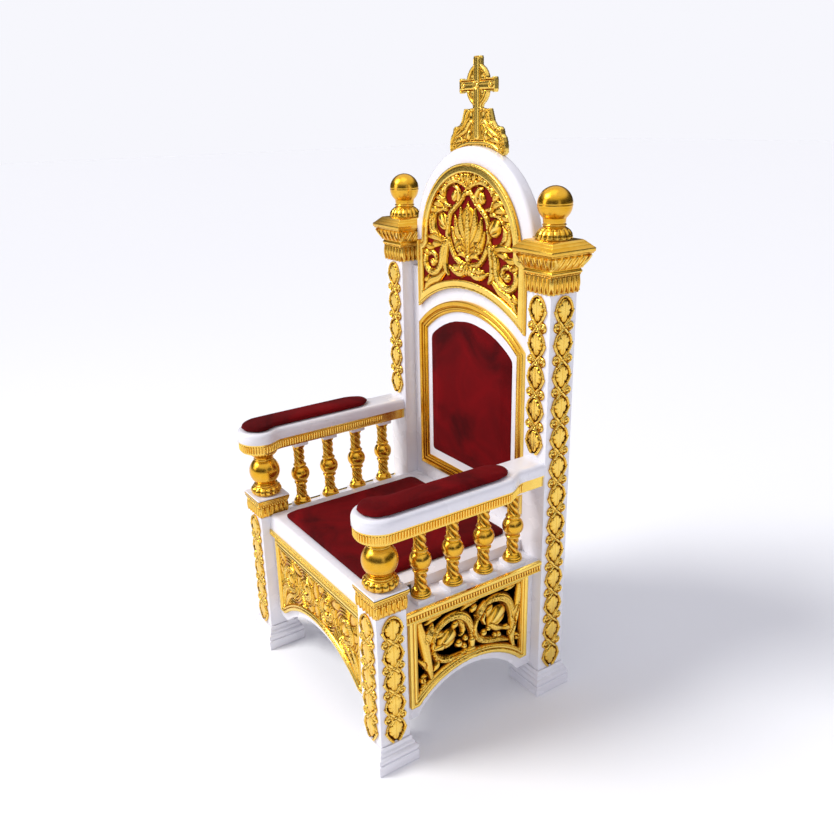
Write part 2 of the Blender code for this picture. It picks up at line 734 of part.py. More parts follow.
SEAT_PAD = rounded_rect(SPAN_X - SEAT_PAD_SIDE, DECK_SET + SEAT_PAD_FRONT, BACK_Y - SEAT_PAD_REAR, SEAT_PAD_ROUND)
finish(loft("seat_pad", puffed(1, SEAT_PAD, DECK_TOP + GAP, SEAT_PAD_H)), VELVET)

# Back board with the pocket for its pad, and the moulded frame round the pad
FRAME_X = SPAN_X - FRAME_SIDE
FRAME_Z = DECK_TOP + FRAME_FOOT
FRAME_R = chord_radius(FRAME_X, FRAME_RISE)
FRAME_C = FRAME_Z + FRAME_H - FRAME_R


def head_outline(depth):
    """Board outline: full width to the shoulders, narrower between the capitals, then the arch."""
    radius = HEAD_R - depth
    step_z = REAR_CAP_TOP + GAP
    shoulder_z = REAR_POST_H - SHOULDER_DROP
    step_x = SPAN_X - ABACUS_OUT
    start = math.degrees(math.asin((step_z - HEAD_Z) / radius))
    right = [(SPAN_X, DECK_TOP + GAP), (SPAN_X, shoulder_z), (step_x, shoulder_z), (step_x, step_z)]
    return right + arc(0.0, HEAD_Z, radius, start, 180.0 - start, 18) + flip(right)


def back_panel(side_in, inset, steps):
    """Outline inside the frame, parallel to its arch."""
    return arched_panel(FRAME_X - side_in, FRAME_Z + inset, FRAME_R - inset, FRAME_C, steps)


BACK_LEVELS = (
    (BACK_Y + BACK_T, 0.6 * BACK_ROUND),
    (BACK_Y + BACK_T - 0.6 * BACK_ROUND, 0.0),
    (BACK_Y + BACK_ROUND, 0.0),
    (BACK_Y + 0.3 * BACK_ROUND, 0.3 * BACK_ROUND),
    (BACK_Y, BACK_ROUND),
)
board = loft("back_board", [upright(head_outline(depth), y) for y, depth in BACK_LEVELS])
pocket = flat("pocket", [back_panel(BACK_PAD_SIDE, BACK_PAD_IN, 12)], "front", BACK_Y - POCKET, BACK_Y + POCKET)
combine(board, solid(pocket), 'DIFFERENCE')
merge_flats(board)
finish(board, WHITE)

FRAME_STEPS = ((0.0, 0.0), (0.0, 0.60), (0.10, 1.0), (0.38, 1.0), (0.46, 0.62), (0.60, 0.62),
               (0.70, 0.92), (0.90, 0.76), (1.0, 0.0))
frame_rings = []
for share, rise in FRAME_STEPS:
    inset = FRAME_W * share
    frame_rings.append(upright(back_panel(inset, inset, 12), BACK_Y - GAP - FRAME_T * rise))
finish(loft("back_frame", frame_rings, closed=True), GILT)

BACK_PUFF = ((0.0, 0.0), (0.0, 0.45), (0.27, 0.72), (0.90, 0.90), (2.05, 1.0))
pad_rings = []
for share, rise in BACK_PUFF:
    inset = PAD_FIT + BACK_PAD_T * share
    outline = back_panel(BACK_PAD_SIDE + inset, BACK_PAD_IN + inset, 12)
    pad_rings.append(upright(outline, BACK_Y + POCKET - GAP - BACK_PAD_T * rise))
finish(loft("back_pad", pad_rings), VELVET)


# Carved tympanum over the backrest and its red backing
def tympanum_outline(depth):
    """Round arch on two ears, with a hollow lower edge that follows the backrest frame."""
    ear = HEAD_R - TYMP_EAR_IN - depth
    low_r = FRAME_R + TYMP_CLEAR + depth
    radius = HEAD_R - TYMP_IN - depth
    spread = math.degrees(math.asin(ear / low_r))
    lower = arc(0.0, FRAME_C, low_r, 90.0 + spread, 90.0 - spread, 10)
    ear_z = HEAD_Z - TYMP_EAR_DROP - depth
    ears = [(ear, ear_z), (radius, ear_z)]
    return lower + ears + arc(0.0, HEAD_Z, radius, 0.0, 180.0, 16) + flip(ears)


def tympanum_holes():
    """Openings between the vine, the middle leaf and the volutes, mirrored about the middle."""
    half = [
        leaf(0.034, 0.112, 0.040, 0.014, 110.0),
        crescent(0.0, 0.030, 0.068, 15.0, 62.0, 0.014),
        crescent(0.0, 0.020, 0.070, -50.0, 5.0, 0.014),
        crescent(0.072, 0.128, 0.026, -60.0, 100.0, 0.012),
        crescent(0.135, 0.045, 0.028, -80.0, 70.0, 0.013),
        leaf(0.128, 0.108, 0.038, 0.014, 130.0),
        leaf(0.040, 0.172, 0.034, 0.011, 160.0),
        leaf(0.110, -0.040, 0.054, 0.014, 110.0),
        crescent(0.188, -0.080, 0.022, 60.0, 250.0, 0.011),
        leaf(0.060, -0.078, 0.034, 0.012, 150.0),
        leaf(0.140, -0.098, 0.036, 0.013, 120.0),
    ]
    low = FRAME_C + FRAME_R + TYMP_CLEAR + TYMP_BORDER
    high = HEAD_TOP - TYMP_IN - TYMP_BORDER
    unit = min((HEAD_R - TYMP_IN) / 0.2305, (high - low) / 0.3033)
    return scaled(both(half), unit, 0.0, high - 0.2035 * unit)


backing_y = BACK_Y - GAP
slab("tympanum_backing", tympanum_outline(BACKING_IN), "front", backing_y, backing_y - BACKING_T, RED)
back = backing_y - BACKING_T - GAP
carved_plate("tympanum_carving", tympanum_outline(0.0), tympanum_outline(TYMP_BORDER), tympanum_holes(),
             "front", back, back - 0.60 * CARVING_T, back - 0.85 * CARVING_T, GILT)


# Crest: cross with a ring on a scroll base that sits on the arched head
def crest_outline():
    saddle = HEAD_R + GAP
    span = math.degrees(math.asin(0.92 * CREST_BASE_X / saddle))
    foot_z = HEAD_Z + saddle * math.cos(math.radians(span)) - HEAD_TOP
    base = [(1.0, foot_z + 0.035 * CREST_H), (0.99, 0.043 * CREST_H), (0.89, 0.13 * CREST_H),
            (0.80, 0.216 * CREST_H), (0.62, 0.235 * CREST_H), (0.55, 0.28 * CREST_H), (0.45, 0.42 * CREST_H),
            (CREST_BAR / CREST_BASE_X, 0.43 * CREST_H)]
    right = [(CREST_BASE_X * share, rise) for share, rise in base]
    for angle in (-66.0, -50.0, -34.0):
        right.append(disc_point(angle))
    arm = 0.22 * CROSS_X
    for share, drop in ((0.55, -1.0), (0.86, -1.0), (0.90, -1.15), (1.0, -0.75), (1.0, 0.75), (0.90, 1.15),
                        (0.86, 1.0), (0.55, 1.0)):
        right.append((CROSS_X * share, CROSS_RISE + arm * drop))
    for angle in (34.0, 50.0, 66.0):
        right.append(disc_point(angle))
    right += [(0.95 * CREST_BAR, 0.90 * CREST_H), (0.95 * CREST_BAR, 0.97 * CREST_H), (0.75 * CREST_BAR, CREST_H)]
    right = [(u, HEAD_TOP + v) for u, v in right]
    return arc(0.0, HEAD_Z, saddle, 90.0 + span, 90.0 - span, 12) + right + flip(right)


def disc_point(angle):
    """Point on the rim of the upright oval behind the cross."""
    turn = math.radians(angle)
    return DISC_X * math.cos(turn), CROSS_RISE + DISC_H * math.sin(turn)


def crest_holes():
    cross_z = HEAD_TOP + CROSS_RISE
    ring = 0.38 * CROSS_X
    return both([
        crescent(0.0, cross_z, ring, 34.0, 60.0, 0.25 * ring),
        crescent(0.0, cross_z, ring, -60.0, -34.0, 0.25 * ring),
        leaf(0.20 * CREST_BASE_X, HEAD_TOP + 0.335 * CREST_H, 0.14 * CREST_H, 0.085 * CREST_BASE_X, 84.0),
        crescent(0.34 * CREST_BASE_X, HEAD_TOP + 0.150 * CREST_H, 0.13 * CREST_BASE_X, -60.0, 100.0,
                 0.065 * CREST_BASE_X),
    ])


crest_y = BACK_Y + BACK_T / 2.0 + CREST_BACK - CREST_T / 2.0
finish(flat("crest_cross", [crest_outline()] + crest_holes(), "front", crest_y, crest_y + CREST_T), GILT)


# Applied strips of linked medallions on the posts
def strip_outline(low, high):
    """Chain of medallions with a pointed leaf above and a tail below."""
    half = HALF - STRIP_MARGIN
    end = 0.45 * half
    count = max(1, round((high - low - 2.0 * end) / STRIP_PITCH))
    pitch = (high - low - 2.0 * end) / count
    right = [(0.0, low), (0.30 * half, low + 0.8 * end)]
    for i in range(count):
        for t, width in ((0.0, 0.64), (0.32, 1.0), (0.68, 1.0)):
            right.append((half * width, low + end + pitch * (i + t)))
    right.append((0.64 * half, high - end))
    return right + [(0.0, high)] + flip(right[1:])


strip_low = PLINTH_H + STRIP_END
FRONT_STRIP = strip_outline(strip_low, FRONT_POST_H - STRIP_END)
REAR_SIDE_STRIP = strip_outline(strip_low, REAR_POST_H - STRIP_END)
REAR_FRONT_STRIP = strip_outline(ARM_TOP + 3.0 * STRIP_END, REAR_POST_H - STRIP_END)

for side, mark in SIDES:
    near = OUTER_X + GAP
    for name, outline, y in (("front_side", FRONT_STRIP, HALF), ("rear_side", REAR_SIDE_STRIP, REAR_MID_Y)):
        slab("strip_%s_%s" % (name, mark), shift(outline, y), mark, near, near + STRIP_T, GILT)
    for name, outline, y in (("front_face", FRONT_STRIP, 0.0), ("rear_face", REAR_FRONT_STRIP, REAR_Y)):
        placed = shift(outline, side * POST_X)
        slab("strip_%s_%s" % (name, mark), placed, "front", y - GAP, y - GAP - STRIP_T, GILT)
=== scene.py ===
"""Church altar chair: white lacquered wood, carved and gilt ornament, crimson velvet pads."""
import math

import bmesh
import bpy
import numpy as np
from mathutils import Matrix, Vector


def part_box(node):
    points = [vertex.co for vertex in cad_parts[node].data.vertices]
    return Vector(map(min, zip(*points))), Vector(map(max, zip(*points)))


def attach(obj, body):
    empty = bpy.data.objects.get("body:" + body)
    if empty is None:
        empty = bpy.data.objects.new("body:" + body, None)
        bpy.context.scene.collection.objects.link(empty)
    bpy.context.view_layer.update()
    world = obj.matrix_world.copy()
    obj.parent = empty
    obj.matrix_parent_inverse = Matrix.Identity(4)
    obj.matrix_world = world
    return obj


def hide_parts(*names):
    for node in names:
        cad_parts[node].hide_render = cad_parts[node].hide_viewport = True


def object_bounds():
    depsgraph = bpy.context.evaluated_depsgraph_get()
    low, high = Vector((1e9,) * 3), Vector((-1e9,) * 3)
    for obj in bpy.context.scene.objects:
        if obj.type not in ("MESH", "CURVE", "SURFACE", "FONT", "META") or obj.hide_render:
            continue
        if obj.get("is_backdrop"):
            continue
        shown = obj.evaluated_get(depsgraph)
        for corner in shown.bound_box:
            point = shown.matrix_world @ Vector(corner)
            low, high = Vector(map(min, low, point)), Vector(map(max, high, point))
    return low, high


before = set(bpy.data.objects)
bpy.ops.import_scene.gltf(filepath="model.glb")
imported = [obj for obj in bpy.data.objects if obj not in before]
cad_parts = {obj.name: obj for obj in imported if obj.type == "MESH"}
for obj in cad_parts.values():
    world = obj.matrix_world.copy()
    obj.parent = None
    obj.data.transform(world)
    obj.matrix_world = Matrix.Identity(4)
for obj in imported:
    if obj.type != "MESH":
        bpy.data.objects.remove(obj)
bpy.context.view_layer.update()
scene = bpy.context.scene
TAU = 2.0 * math.pi
SIDES = ((1, "right"), (-1, "left"))
GAP = 0.0003            # clearance between two pieces that touch, in metres
POLISH = 0.22           # middle roughness of the gold leaf


# Finishes
def colour(code):
    """Linear colour of an sRGB hex value."""
    parts = [int(code[i:i + 2], 16) / 255.0 for i in (1, 3, 5)]
    return tuple(c / 12.92 if c <= 0.04045 else ((c + 0.055) / 1.055) ** 2.4 for c in parts) + (1.0,)


def add(tree, kind, settings=None, values=None, links=None):
    """Add a node with its settings, its socket values and the outputs that feed it."""
    made = tree.nodes.new(kind)
    for key, value in (settings or {}).items():
        setattr(made, key, value)
    for key, value in (values or {}).items():
        made.inputs[key].default_value = value
    for key, source in (links or {}).items():
        tree.links.new(source, made.inputs[key])
    return made


def ramp(tree, source, stops):
    """Colour ramp on a source; stops are places and colours."""
    made = add(tree, "ShaderNodeValToRGB", links={"Fac": source})
    bar = made.color_ramp
    while len(bar.elements) < len(stops):
        bar.elements.new(0.5)
    for element, (place, shade) in zip(bar.elements, stops):
        element.position = place
        element.color = shade
    return made.outputs["Color"]


def finish_tree(name):
    """New material, its tree, its shader and its object coordinates."""
    mat = bpy.data.materials.new(name)
    mat.use_nodes = True
    tree = mat.node_tree
    place = add(tree, "ShaderNodeTexCoord").outputs["Object"]
    return mat, tree, tree.nodes["Principled BSDF"], place


def gold_leaf(name, shadow):
    """Water-gilt wood: thin gold over red clay, with painted highlight on the crowns and painted shade,
    brown, in the cuts.
    """
    mat, tree, shader, place = finish_tree(name)
    cut = add(tree, "ShaderNodeAttribute", {"attribute_name": "cut"}).outputs["Fac"]
    # Clouding about 25 mm across, from the burnisher's strokes
    cloud = add(tree, "ShaderNodeTexNoise", values={"Scale": 40.0, "Detail": 3.0}, links={"Vector": place})
    worn = add(tree, "ShaderNodeMath", {"operation": "MULTIPLY_ADD"}, {1: 0.22, 2: -0.11},
               {0: cloud.outputs["Fac"]})
    depth = add(tree, "ShaderNodeMath", {"operation": "ADD"}, links={0: cut, 1: worn.outputs[0]})
    # Painted shade and highlight: the cut value runs the colour from the shadow brown up to a pale highlight
    # yellow
    tint = ramp(tree, depth.outputs[0], [(0.0, colour(shadow)), (0.30, colour("#a05c08")),
                                         (0.60, colour("#e6aa26")), (1.0, colour("#ffdc70"))])
    tree.links.new(tint, shader.inputs["Base Color"])
    shader.inputs["Metallic"].default_value = 0.95
    fine = add(tree, "ShaderNodeTexNoise", values={"Scale": 260.0, "Detail": 2.0}, links={"Vector": place})
    rough = add(tree, "ShaderNodeMapRange", values={"To Min": POLISH - 0.07, "To Max": POLISH + 0.10},
                links={"Value": fine.outputs["Fac"]})
    tree.links.new(rough.outputs[0], shader.inputs["Roughness"])
    # Tool marks and gesso ripple, about 4 mm apart
    bump = add(tree, "ShaderNodeBump", values={"Strength": 0.05, "Distance": 0.0006},
               links={"Height": fine.outputs["Fac"]})
    tree.links.new(bump.outputs["Normal"], shader.inputs["Normal"])
    return mat


def white_lacquer():
    """Sprayed white lacquer on wood: smooth and glossy with a faint orange peel."""
    mat, tree, shader, place = finish_tree("white_lacquer")
    cloud = add(tree, "ShaderNodeTexNoise", values={"Scale": 9.0, "Detail": 4.0}, links={"Vector": place})
    tint = ramp(tree, cloud.outputs["Fac"], [(0.3, colour("#eceaf0")), (0.7, colour("#f0eff4"))])
    tree.links.new(tint, shader.inputs["Base Color"])
    peel = add(tree, "ShaderNodeTexNoise", values={"Scale": 330.0, "Detail": 1.0}, links={"Vector": place})
    bump = add(tree, "ShaderNodeBump", values={"Strength": 0.05, "Distance": 0.0004},
               links={"Height": peel.outputs["Fac"]})
    tree.links.new(bump.outputs["Normal"], shader.inputs["Normal"])
    rough = add(tree, "ShaderNodeMapRange", values={"To Min": 0.20, "To Max": 0.34},
                links={"Value": cloud.outputs["Fac"]})
    tree.links.new(rough.outputs[0], shader.inputs["Roughness"])
    shader.inputs["Coat Weight"].default_value = 0.4
    shader.inputs["Coat Roughness"].default_value = 0.12
    return mat


def velvet(name, dark, lit):
    """Short-pile velvet: its colour is painted in large random patches from near black to crimson, painted
    shade and sheen of the pile, with a fine pile grain.
    """
    mat, tree, shader, place = finish_tree(name)
    # Large patches of painted shade and sheen
    lean = add(tree, "ShaderNodeTexNoise", values={"Scale": 6.0, "Detail": 6.0, "Distortion": 1.2},
               links={"Vector": place})
    pile = add(tree, "ShaderNodeTexNoise", values={"Scale": 900.0, "Detail": 2.0}, links={"Vector": place})
    mixed = add(tree, "ShaderNodeMath", {"operation": "MULTIPLY_ADD"}, {1: 0.35},
                {0: pile.outputs["Fac"], 2: lean.outputs["Fac"]})
    tint = ramp(tree, mixed.outputs[0], [(0.38, colour(dark)), (0.86, colour(lit))])
    tree.links.new(tint, shader.inputs["Base Color"])
    shader.inputs["Roughness"].default_value = 0.95
    shader.inputs["Specular IOR Level"].default_value = 0.15
    shader.inputs["Sheen Weight"].default_value = 0.08
    shader.inputs["Sheen Roughness"].default_value = 0.35
    shader.inputs["Sheen Tint"].default_value = colour("#8a0410")
    bump = add(tree, "ShaderNodeBump", values={"Strength": 0.35, "Distance": 0.0006},
               links={"Height": pile.outputs["Fac"]})
    tree.links.new(bump.outputs["Normal"], shader.inputs["Normal"])
    return mat


GOLD = gold_leaf("gold_leaf", "#4a2404")
# Same gilt, but its painted recess shade runs to near black, so low ground comes out near black
GOLD_DARK = gold_leaf("gold_leaf_near_black_hollows", "#0b0502")
WHITE = white_lacquer()
VELVET = velvet("crimson_velvet", "#2a0002", "#760108")
RED_CLOTH = velvet("red_cloth", "#560a08", "#8a120c")


# Making meshes
def paint_recess_shade(mesh):
    """Store how deep each point lies, 1 on a crown and 0 in a cut, for the gilt's painted shade in the
    hollows and painted highlight on the crowns.
    """
    count = len(mesh.vertices)
    spots = np.empty(count * 3)
    mesh.vertices.foreach_get("co", spots)
    spots = spots.reshape(-1, 3)
    normals = np.empty(count * 3)
    mesh.vertices.foreach_get("normal", normals)
    normals = normals.reshape(-1, 3)
    ends = np.empty(len(mesh.edges) * 2, dtype=np.int64)
    mesh.edges.foreach_get("vertices", ends)
    ends = ends.reshape(-1, 2)
    step = spots[ends[:, 1]] - spots[ends[:, 0]]
    length = np.maximum(np.linalg.norm(step, axis=1), 1e-6)
    fall = np.zeros(count)
    number = np.zeros(count)
    for near, far, sign in ((0, 1, 1.0), (1, 0, -1.0)):
        lean = np.einsum("ij,ij->i", normals[ends[:, near]], step) * sign / length
        np.add.at(fall, ends[:, near], lean)
        np.add.at(number, ends[:, near], 1.0)
    hollow = fall / np.maximum(number, 1.0)
    # Painted shade and highlight: hollows get low values, which the gilt's ramp turns brown, and crowns get
    # high values, which it turns pale
    cut = np.clip(0.62 - 1.1 * hollow, 0.0, 1.0)
    # On carvings the height adds to it, so low ground is painted darker and high crowns lighter
    if "depth" in mesh.attributes:
        height = np.empty(count)
        mesh.attributes["depth"].data.foreach_get("value", height)
        cut = np.clip(0.50 * cut + 0.85 * height - 0.16, 0.0, 1.0)
    mesh.attributes.new("cut", 'FLOAT', 'POINT').data.foreach_set("value", cut.astype(np.float32))


def settle(name, mesh, finish, nodes, sharp=38.0):
    """Turn a finished mesh into a piece that stands for its CAD nodes."""
    bm = bmesh.new()
    bm.from_mesh(mesh)
    bmesh.ops.recalc_face_normals(bm, faces=bm.faces)
    bm.to_mesh(mesh)
    bm.free()
    mesh.shade_smooth()
    mesh.set_sharp_from_angle(angle=math.radians(sharp))
    if finish in (GOLD, GOLD_DARK):
        paint_recess_shade(mesh)
    mesh.materials.clear()
    mesh.materials.append(finish)
    obj = bpy.data.objects.new(name, mesh)
    scene.collection.objects.link(obj)
    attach(obj, "root")
    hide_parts(*nodes)
    return obj


def raw_mesh(name, verts, faces):
    """Mesh from points and faces."""
    mesh = bpy.data.meshes.new(name)
    mesh.from_pydata([tuple(v) for v in verts], [], faces)
    return mesh


def skin(rings, closed=False):
    """Points and faces of a stack of loops of equal length."""
    size = len(rings[0])
    verts = [tuple(p) for ring in rings for p in ring]
    faces = []
    last = len(rings) if closed else len(rings) - 1
    for i in range(last):
        low = i * size
        high = ((i + 1) % len(rings)) * size
        for j in range(size):
            k = (j + 1) % size
            faces.append((low + j, low + k, high + k, high + j))
    if not closed:
        faces.append(tuple(range(size))[::-1])
        faces.append(tuple(range((len(rings) - 1) * size, len(rings) * size)))
    return verts, faces


def loft(name, rings, finish, nodes, closed=False, sharp=38.0):
    """Piece with a skin over a stack of loops."""
    verts, faces = skin(rings, closed)
    return settle(name, raw_mesh(name, verts, faces), finish, nodes, sharp)


def join_meshes(name, meshes):
    """One mesh from several."""
    bm = bmesh.new()
    for mesh in meshes:
        bm.from_mesh(mesh)
    joined = bpy.data.meshes.new(name)
    bm.to_mesh(joined)
    bm.free()
    for mesh in meshes:
        bpy.data.meshes.remove(mesh)
    return joined


# Geometry Nodes: small ornament repeated along a path
def geometry_tree(name, sockets):
    """New Geometry Nodes tree and its input sockets."""
    tree = bpy.data.node_groups.new(name, 'GeometryNodeTree')
    tree.interface.new_socket("Geometry", in_out='INPUT', socket_type='NodeSocketGeometry')
    for label, kind in sockets:
        tree.interface.new_socket(label, in_out='INPUT', socket_type=kind)
    tree.interface.new_socket("Geometry", in_out='OUTPUT', socket_type='NodeSocketGeometry')
    return tree, add(tree, "NodeGroupInput").outputs


def end_tree(tree, instances, given):
    """Make the copies real, give them their finish and join them to the output."""
    real = add(tree, "GeometryNodeRealizeInstances", links={"Geometry": instances})
    painted = add(tree, "GeometryNodeSetMaterial", links={"Geometry": real.outputs[0],
                                                          "Material": given["Finish"]})
    out = add(tree, "NodeGroupOutput")
    tree.links.new(painted.outputs[0], out.inputs[0])


def path_tree():
    """Copies of a shape stand along a level path, their X axis on its tangent."""
    tree, given = geometry_tree("ornament_along_path", [("Shape", 'NodeSocketObject'),
                                                        ("Spacing", 'NodeSocketFloat'),
                                                        ("Finish", 'NodeSocketMaterial')])
    line = add(tree, "GeometryNodeMeshToCurve", links={"Mesh": given["Geometry"]})
    spaced = add(tree, "GeometryNodeResampleCurve", {"mode": 'LENGTH'},
                 links={"Curve": line.outputs[0], "Length": given["Spacing"]})
    tangent = add(tree, "GeometryNodeInputTangent")
    turn = add(tree, "FunctionNodeAlignRotationToVector", {"axis": 'X', "pivot_axis": 'Z'},
               links={"Vector": tangent.outputs[0]})
    shape = add(tree, "GeometryNodeObjectInfo", links={"Object": given["Shape"]})
    feeds = {"Points": spaced.outputs[0], "Instance": shape.outputs["Geometry"],
             "Rotation": turn.outputs[0]}
    copies = add(tree, "GeometryNodeInstanceOnPoints", links=feeds)
    end_tree(tree, copies.outputs[0], given)
    return tree


def grow(host_mesh, tree, values):
    """Run a tree on a mesh and return the plain mesh that it makes."""
    host = bpy.data.objects.new("host", host_mesh)
    scene.collection.objects.link(host)
    modifier = host.modifiers.new("Repeat", 'NODES')
    modifier.node_group = tree
    for item in tree.interface.items_tree:
        if item.in_out == 'INPUT' and item.name in values:
            modifier[item.identifier] = values[item.name]
    bpy.context.view_layer.update()
    made = bpy.data.meshes.new_from_object(host.evaluated_get(bpy.context.evaluated_depsgraph_get()))
    host.modifiers.clear()
    bpy.data.objects.remove(host)
    return made


ALONG_PATH = path_tree()


def along(paths, shape_mesh, spacing):
    """Mesh of a small shape repeated along open level paths; the paths' ends are half a space in."""
    verts = []
    edges = []
    for path in paths:
        start = len(verts)
        verts += [tuple(p) for p in path]
        edges += [(start + i, start + i + 1) for i in range(len(path) - 1)]
    host = bpy.data.meshes.new("path")
    host.from_pydata(verts, edges, [])
    shape = bpy.data.objects.new("shape", shape_mesh)
    made = grow(host, ALONG_PATH, {"Shape": shape, "Spacing": spacing, "Finish": GOLD})
    bpy.data.objects.remove(shape)
    bpy.data.meshes.remove(host)
    return made


def square_sides(x, y, half, z, inset):
    """Four level paths, one along each side of a square, counter-clockwise seen from above."""
    corners = [(-1, -1), (1, -1), (1, 1), (-1, 1)]
    paths = []
    for (ax, ay), (bx, by) in zip(corners, corners[1:] + corners[:1]):
        start = Vector((x + ax * half, y + ay * half, z))
        end = Vector((x + bx * half, y + by * half, z))
        step = (end - start).normalized() * inset
        paths.append([start + step, end - step])
    return paths


# Carving in relief: a height map on a grid of points, in millimetres
CUT_DEPTH = 0.30
BLOCK = 5


def smooth_path(points, per=7):
    """Catmull-Rom curve through the points."""
    pts = [np.array(p, float) for p in points]
    if len(pts) < 3:
        return np.array(pts)
    pts = [2 * pts[0] - pts[1]] + pts + [2 * pts[-1] - pts[-2]]
    made = []
    for i in range(1, len(pts) - 2):
        a, b, c, d = pts[i - 1:i + 3]
        for k in range(per):
            t = k / per
            made.append(0.5 * (2 * b + (c - a) * t + (2 * a - 5 * b + 4 * c - d) * t ** 2
                               + (3 * b - a - 3 * c + d) * t ** 3))
    made.append(pts[-2])
    return np.array(made)


def spiral(cu, cv, start_r, end_r, start_deg, turn_deg, steps=26):
    """Points of a spiral about a middle."""
    angles = np.radians(start_deg + turn_deg * np.linspace(0.0, 1.0, steps))
    radii = np.linspace(start_r, end_r, steps)
    return np.stack([cu + radii * np.cos(angles), cv + radii * np.sin(angles)], axis=1)


def edge_distance(u, v, outline):
    """Distance to a closed outline, positive inside it."""
    nearest = np.full(u.shape, 1e9)
    crossed = np.zeros(u.shape, bool)
    for (au, av), (bu, bv) in zip(outline, list(outline[1:]) + [outline[0]]):
        du, dv = bu - au, bv - av
        size = du * du + dv * dv
        if size < 1e-12:
            continue
        t = np.clip(((u - au) * du + (v - av) * dv) / size, 0.0, 1.0)
        nearest = np.minimum(nearest, np.hypot(u - au - t * du, v - av - t * dv))
        spans = (av > v) != (bv > v)
        if abs(dv) > 1e-12:
            crossed ^= spans & (u < au + (v - av) * du / dv)
    return np.where(crossed, nearest, -nearest)


class Carving:
    """A carver's height map: 0 at the ground, 1 at the face of the board."""

    def __init__(self, low, high, step, mirrored=True, full=1.0):
        self.full = full
        us = np.arange(low[0], high[0] + 0.5 * step, step)
        vs = np.arange(low[1], high[1] + 0.5 * step, step)
        self.step = step
        self.u, self.v = np.meshgrid(us, vs, indexing="ij")
        self.across = np.abs(self.u) if mirrored else self.u
        self.height = np.zeros(self.u.shape)

    def stroke(self, path, widths, tops, cut="round"):
        """Lay a stem along a path, over what is there; widths and tops spread over its length."""
        path = np.asarray(path, float)
        share = np.linspace(0.0, 1.0, len(path))
        radii = self.full * np.interp(share, np.linspace(0.0, 1.0, len(widths)), widths)
        crests = np.interp(share, np.linspace(0.0, 1.0, len(tops)), tops)
        raised = np.zeros(self.height.shape)
        covered = np.zeros(self.height.shape, bool)
        lines = 1.25 if radii.max() < 8.5 else 1.9
        run = 0.0
        for i in range(len(path) - 1):
            a, b = path[i], path[i + 1]
            step = b - a
            size = float(step @ step)
            if size < 1e-9:
                continue
            reach = max(radii[i], radii[i + 1])
            near = ((self.across > min(a[0], b[0]) - reach) & (self.across < max(a[0], b[0]) + reach)
                    & (self.v > min(a[1], b[1]) - reach) & (self.v < max(a[1], b[1]) + reach))
            pu = self.across[near] - a[0]
            pv = self.v[near] - a[1]
            t = np.clip((pu * step[0] + pv * step[1]) / size, 0.0, 1.0)
            radius = radii[i] + t * (radii[i + 1] - radii[i])
            x = np.hypot(pu - t * step[0], pv - t * step[1]) / np.maximum(radius, 0.01)
            side = np.sign(step[0] * pv - step[1] * pu)
            along_run = run + t * math.sqrt(size)
            body = np.sqrt(np.clip(1.0 - x * x, 0.0, 1.0))
            if cut == "leaf":
                body *= 1.0 - 0.50 * np.exp(-(x / 0.20) ** 2)
                body *= 0.95 + 0.05 * np.cos(TAU * (along_run / 9.0 - 0.9 * x))
            elif cut == "flute":
                body *= 0.70 + 0.30 * np.cos(TAU * lines * (x * side * 1.1 + 0.12))
            elif cut == "flat":
                body = np.clip(1.0 - x ** 6, 0.0, 1.0) * (0.88 + 0.12 * x)
            value = (crests[i] + t * (crests[i + 1] - crests[i])) * body
            raised[near] = np.maximum(raised[near], np.where(x < 1.0, value, 0.0))
            covered[near] |= x < 1.0
            run += math.sqrt(size)
        # A cut is left where the new stroke crosses an older one
        self.height = np.where(covered, np.maximum(raised, np.minimum(self.height, CUT_DEPTH)), self.height)

    def stem(self, points, widths, tops, cut="round"):
        """Stroke along a smooth curve through the points."""
        self.stroke(smooth_path(points), widths, tops, cut)

    def frond(self, base, tip, width, top, bend=0.0, cut="leaf"):
        """One pointed leaf from its base to its tip, bent sideways by a share of its length."""
        base = np.array(base, float)
        tip = np.array(tip, float)
        side = np.array([-(tip - base)[1], (tip - base)[0]]) * bend
        path = smooth_path([base, base + (tip - base) * 0.5 + side, tip])
        self.stroke(path, [0.35 * width, 0.85 * width, width, 0.7 * width, 0.12 * width],
                    [0.6 * top, top, 0.75 * top], cut)

    def volute(self, cu, cv, radius, start_deg, turn_deg, width, top, cut="flute"):
        """Scroll that winds in to an eye."""
        self.stroke(spiral(cu, cv, radius, 0.30 * radius, start_deg, turn_deg),
                    [width, 0.8 * width, 0.45 * width], [0.8 * top, top, 0.85 * top], cut)
        self.boss(cu, cv, 0.30 * radius, top)

    def boss(self, cu, cv, radius, top):
        """Round knob."""
        self.egg(cu, cv, radius, radius, 0.0, top)

    def egg(self, cu, cv, long, wide, turn_deg, top, lobes=0.0):
        """Rounded bud, with lobes cut into it from one end."""
        a = math.radians(turn_deg)
        du = self.across - cu
        dv = self.v - cv
        pu = du * math.cos(a) + dv * math.sin(a)
        pv = dv * math.cos(a) - du * math.sin(a)
        x = np.hypot(pu / long, pv / wide)
        bud = top * np.sqrt(np.clip(1.0 - x * x, 0.0, 1.0))
        if lobes:
            fan = np.arctan2(pv, pu + 1.15 * long)
            bud *= 1.0 - lobes * np.abs(np.sin(5.0 * fan)) ** 6
        self.height = np.where(x < 1.0, np.maximum(bud, np.minimum(self.height, CUT_DEPTH)), self.height)

    def border(self, edge, places, heights):
        """Moulding that follows the outline: heights at distances in from the edge."""
        moulded = np.interp(edge, places, heights)
        self.height = np.where(edge < places[-1], moulded, self.height)


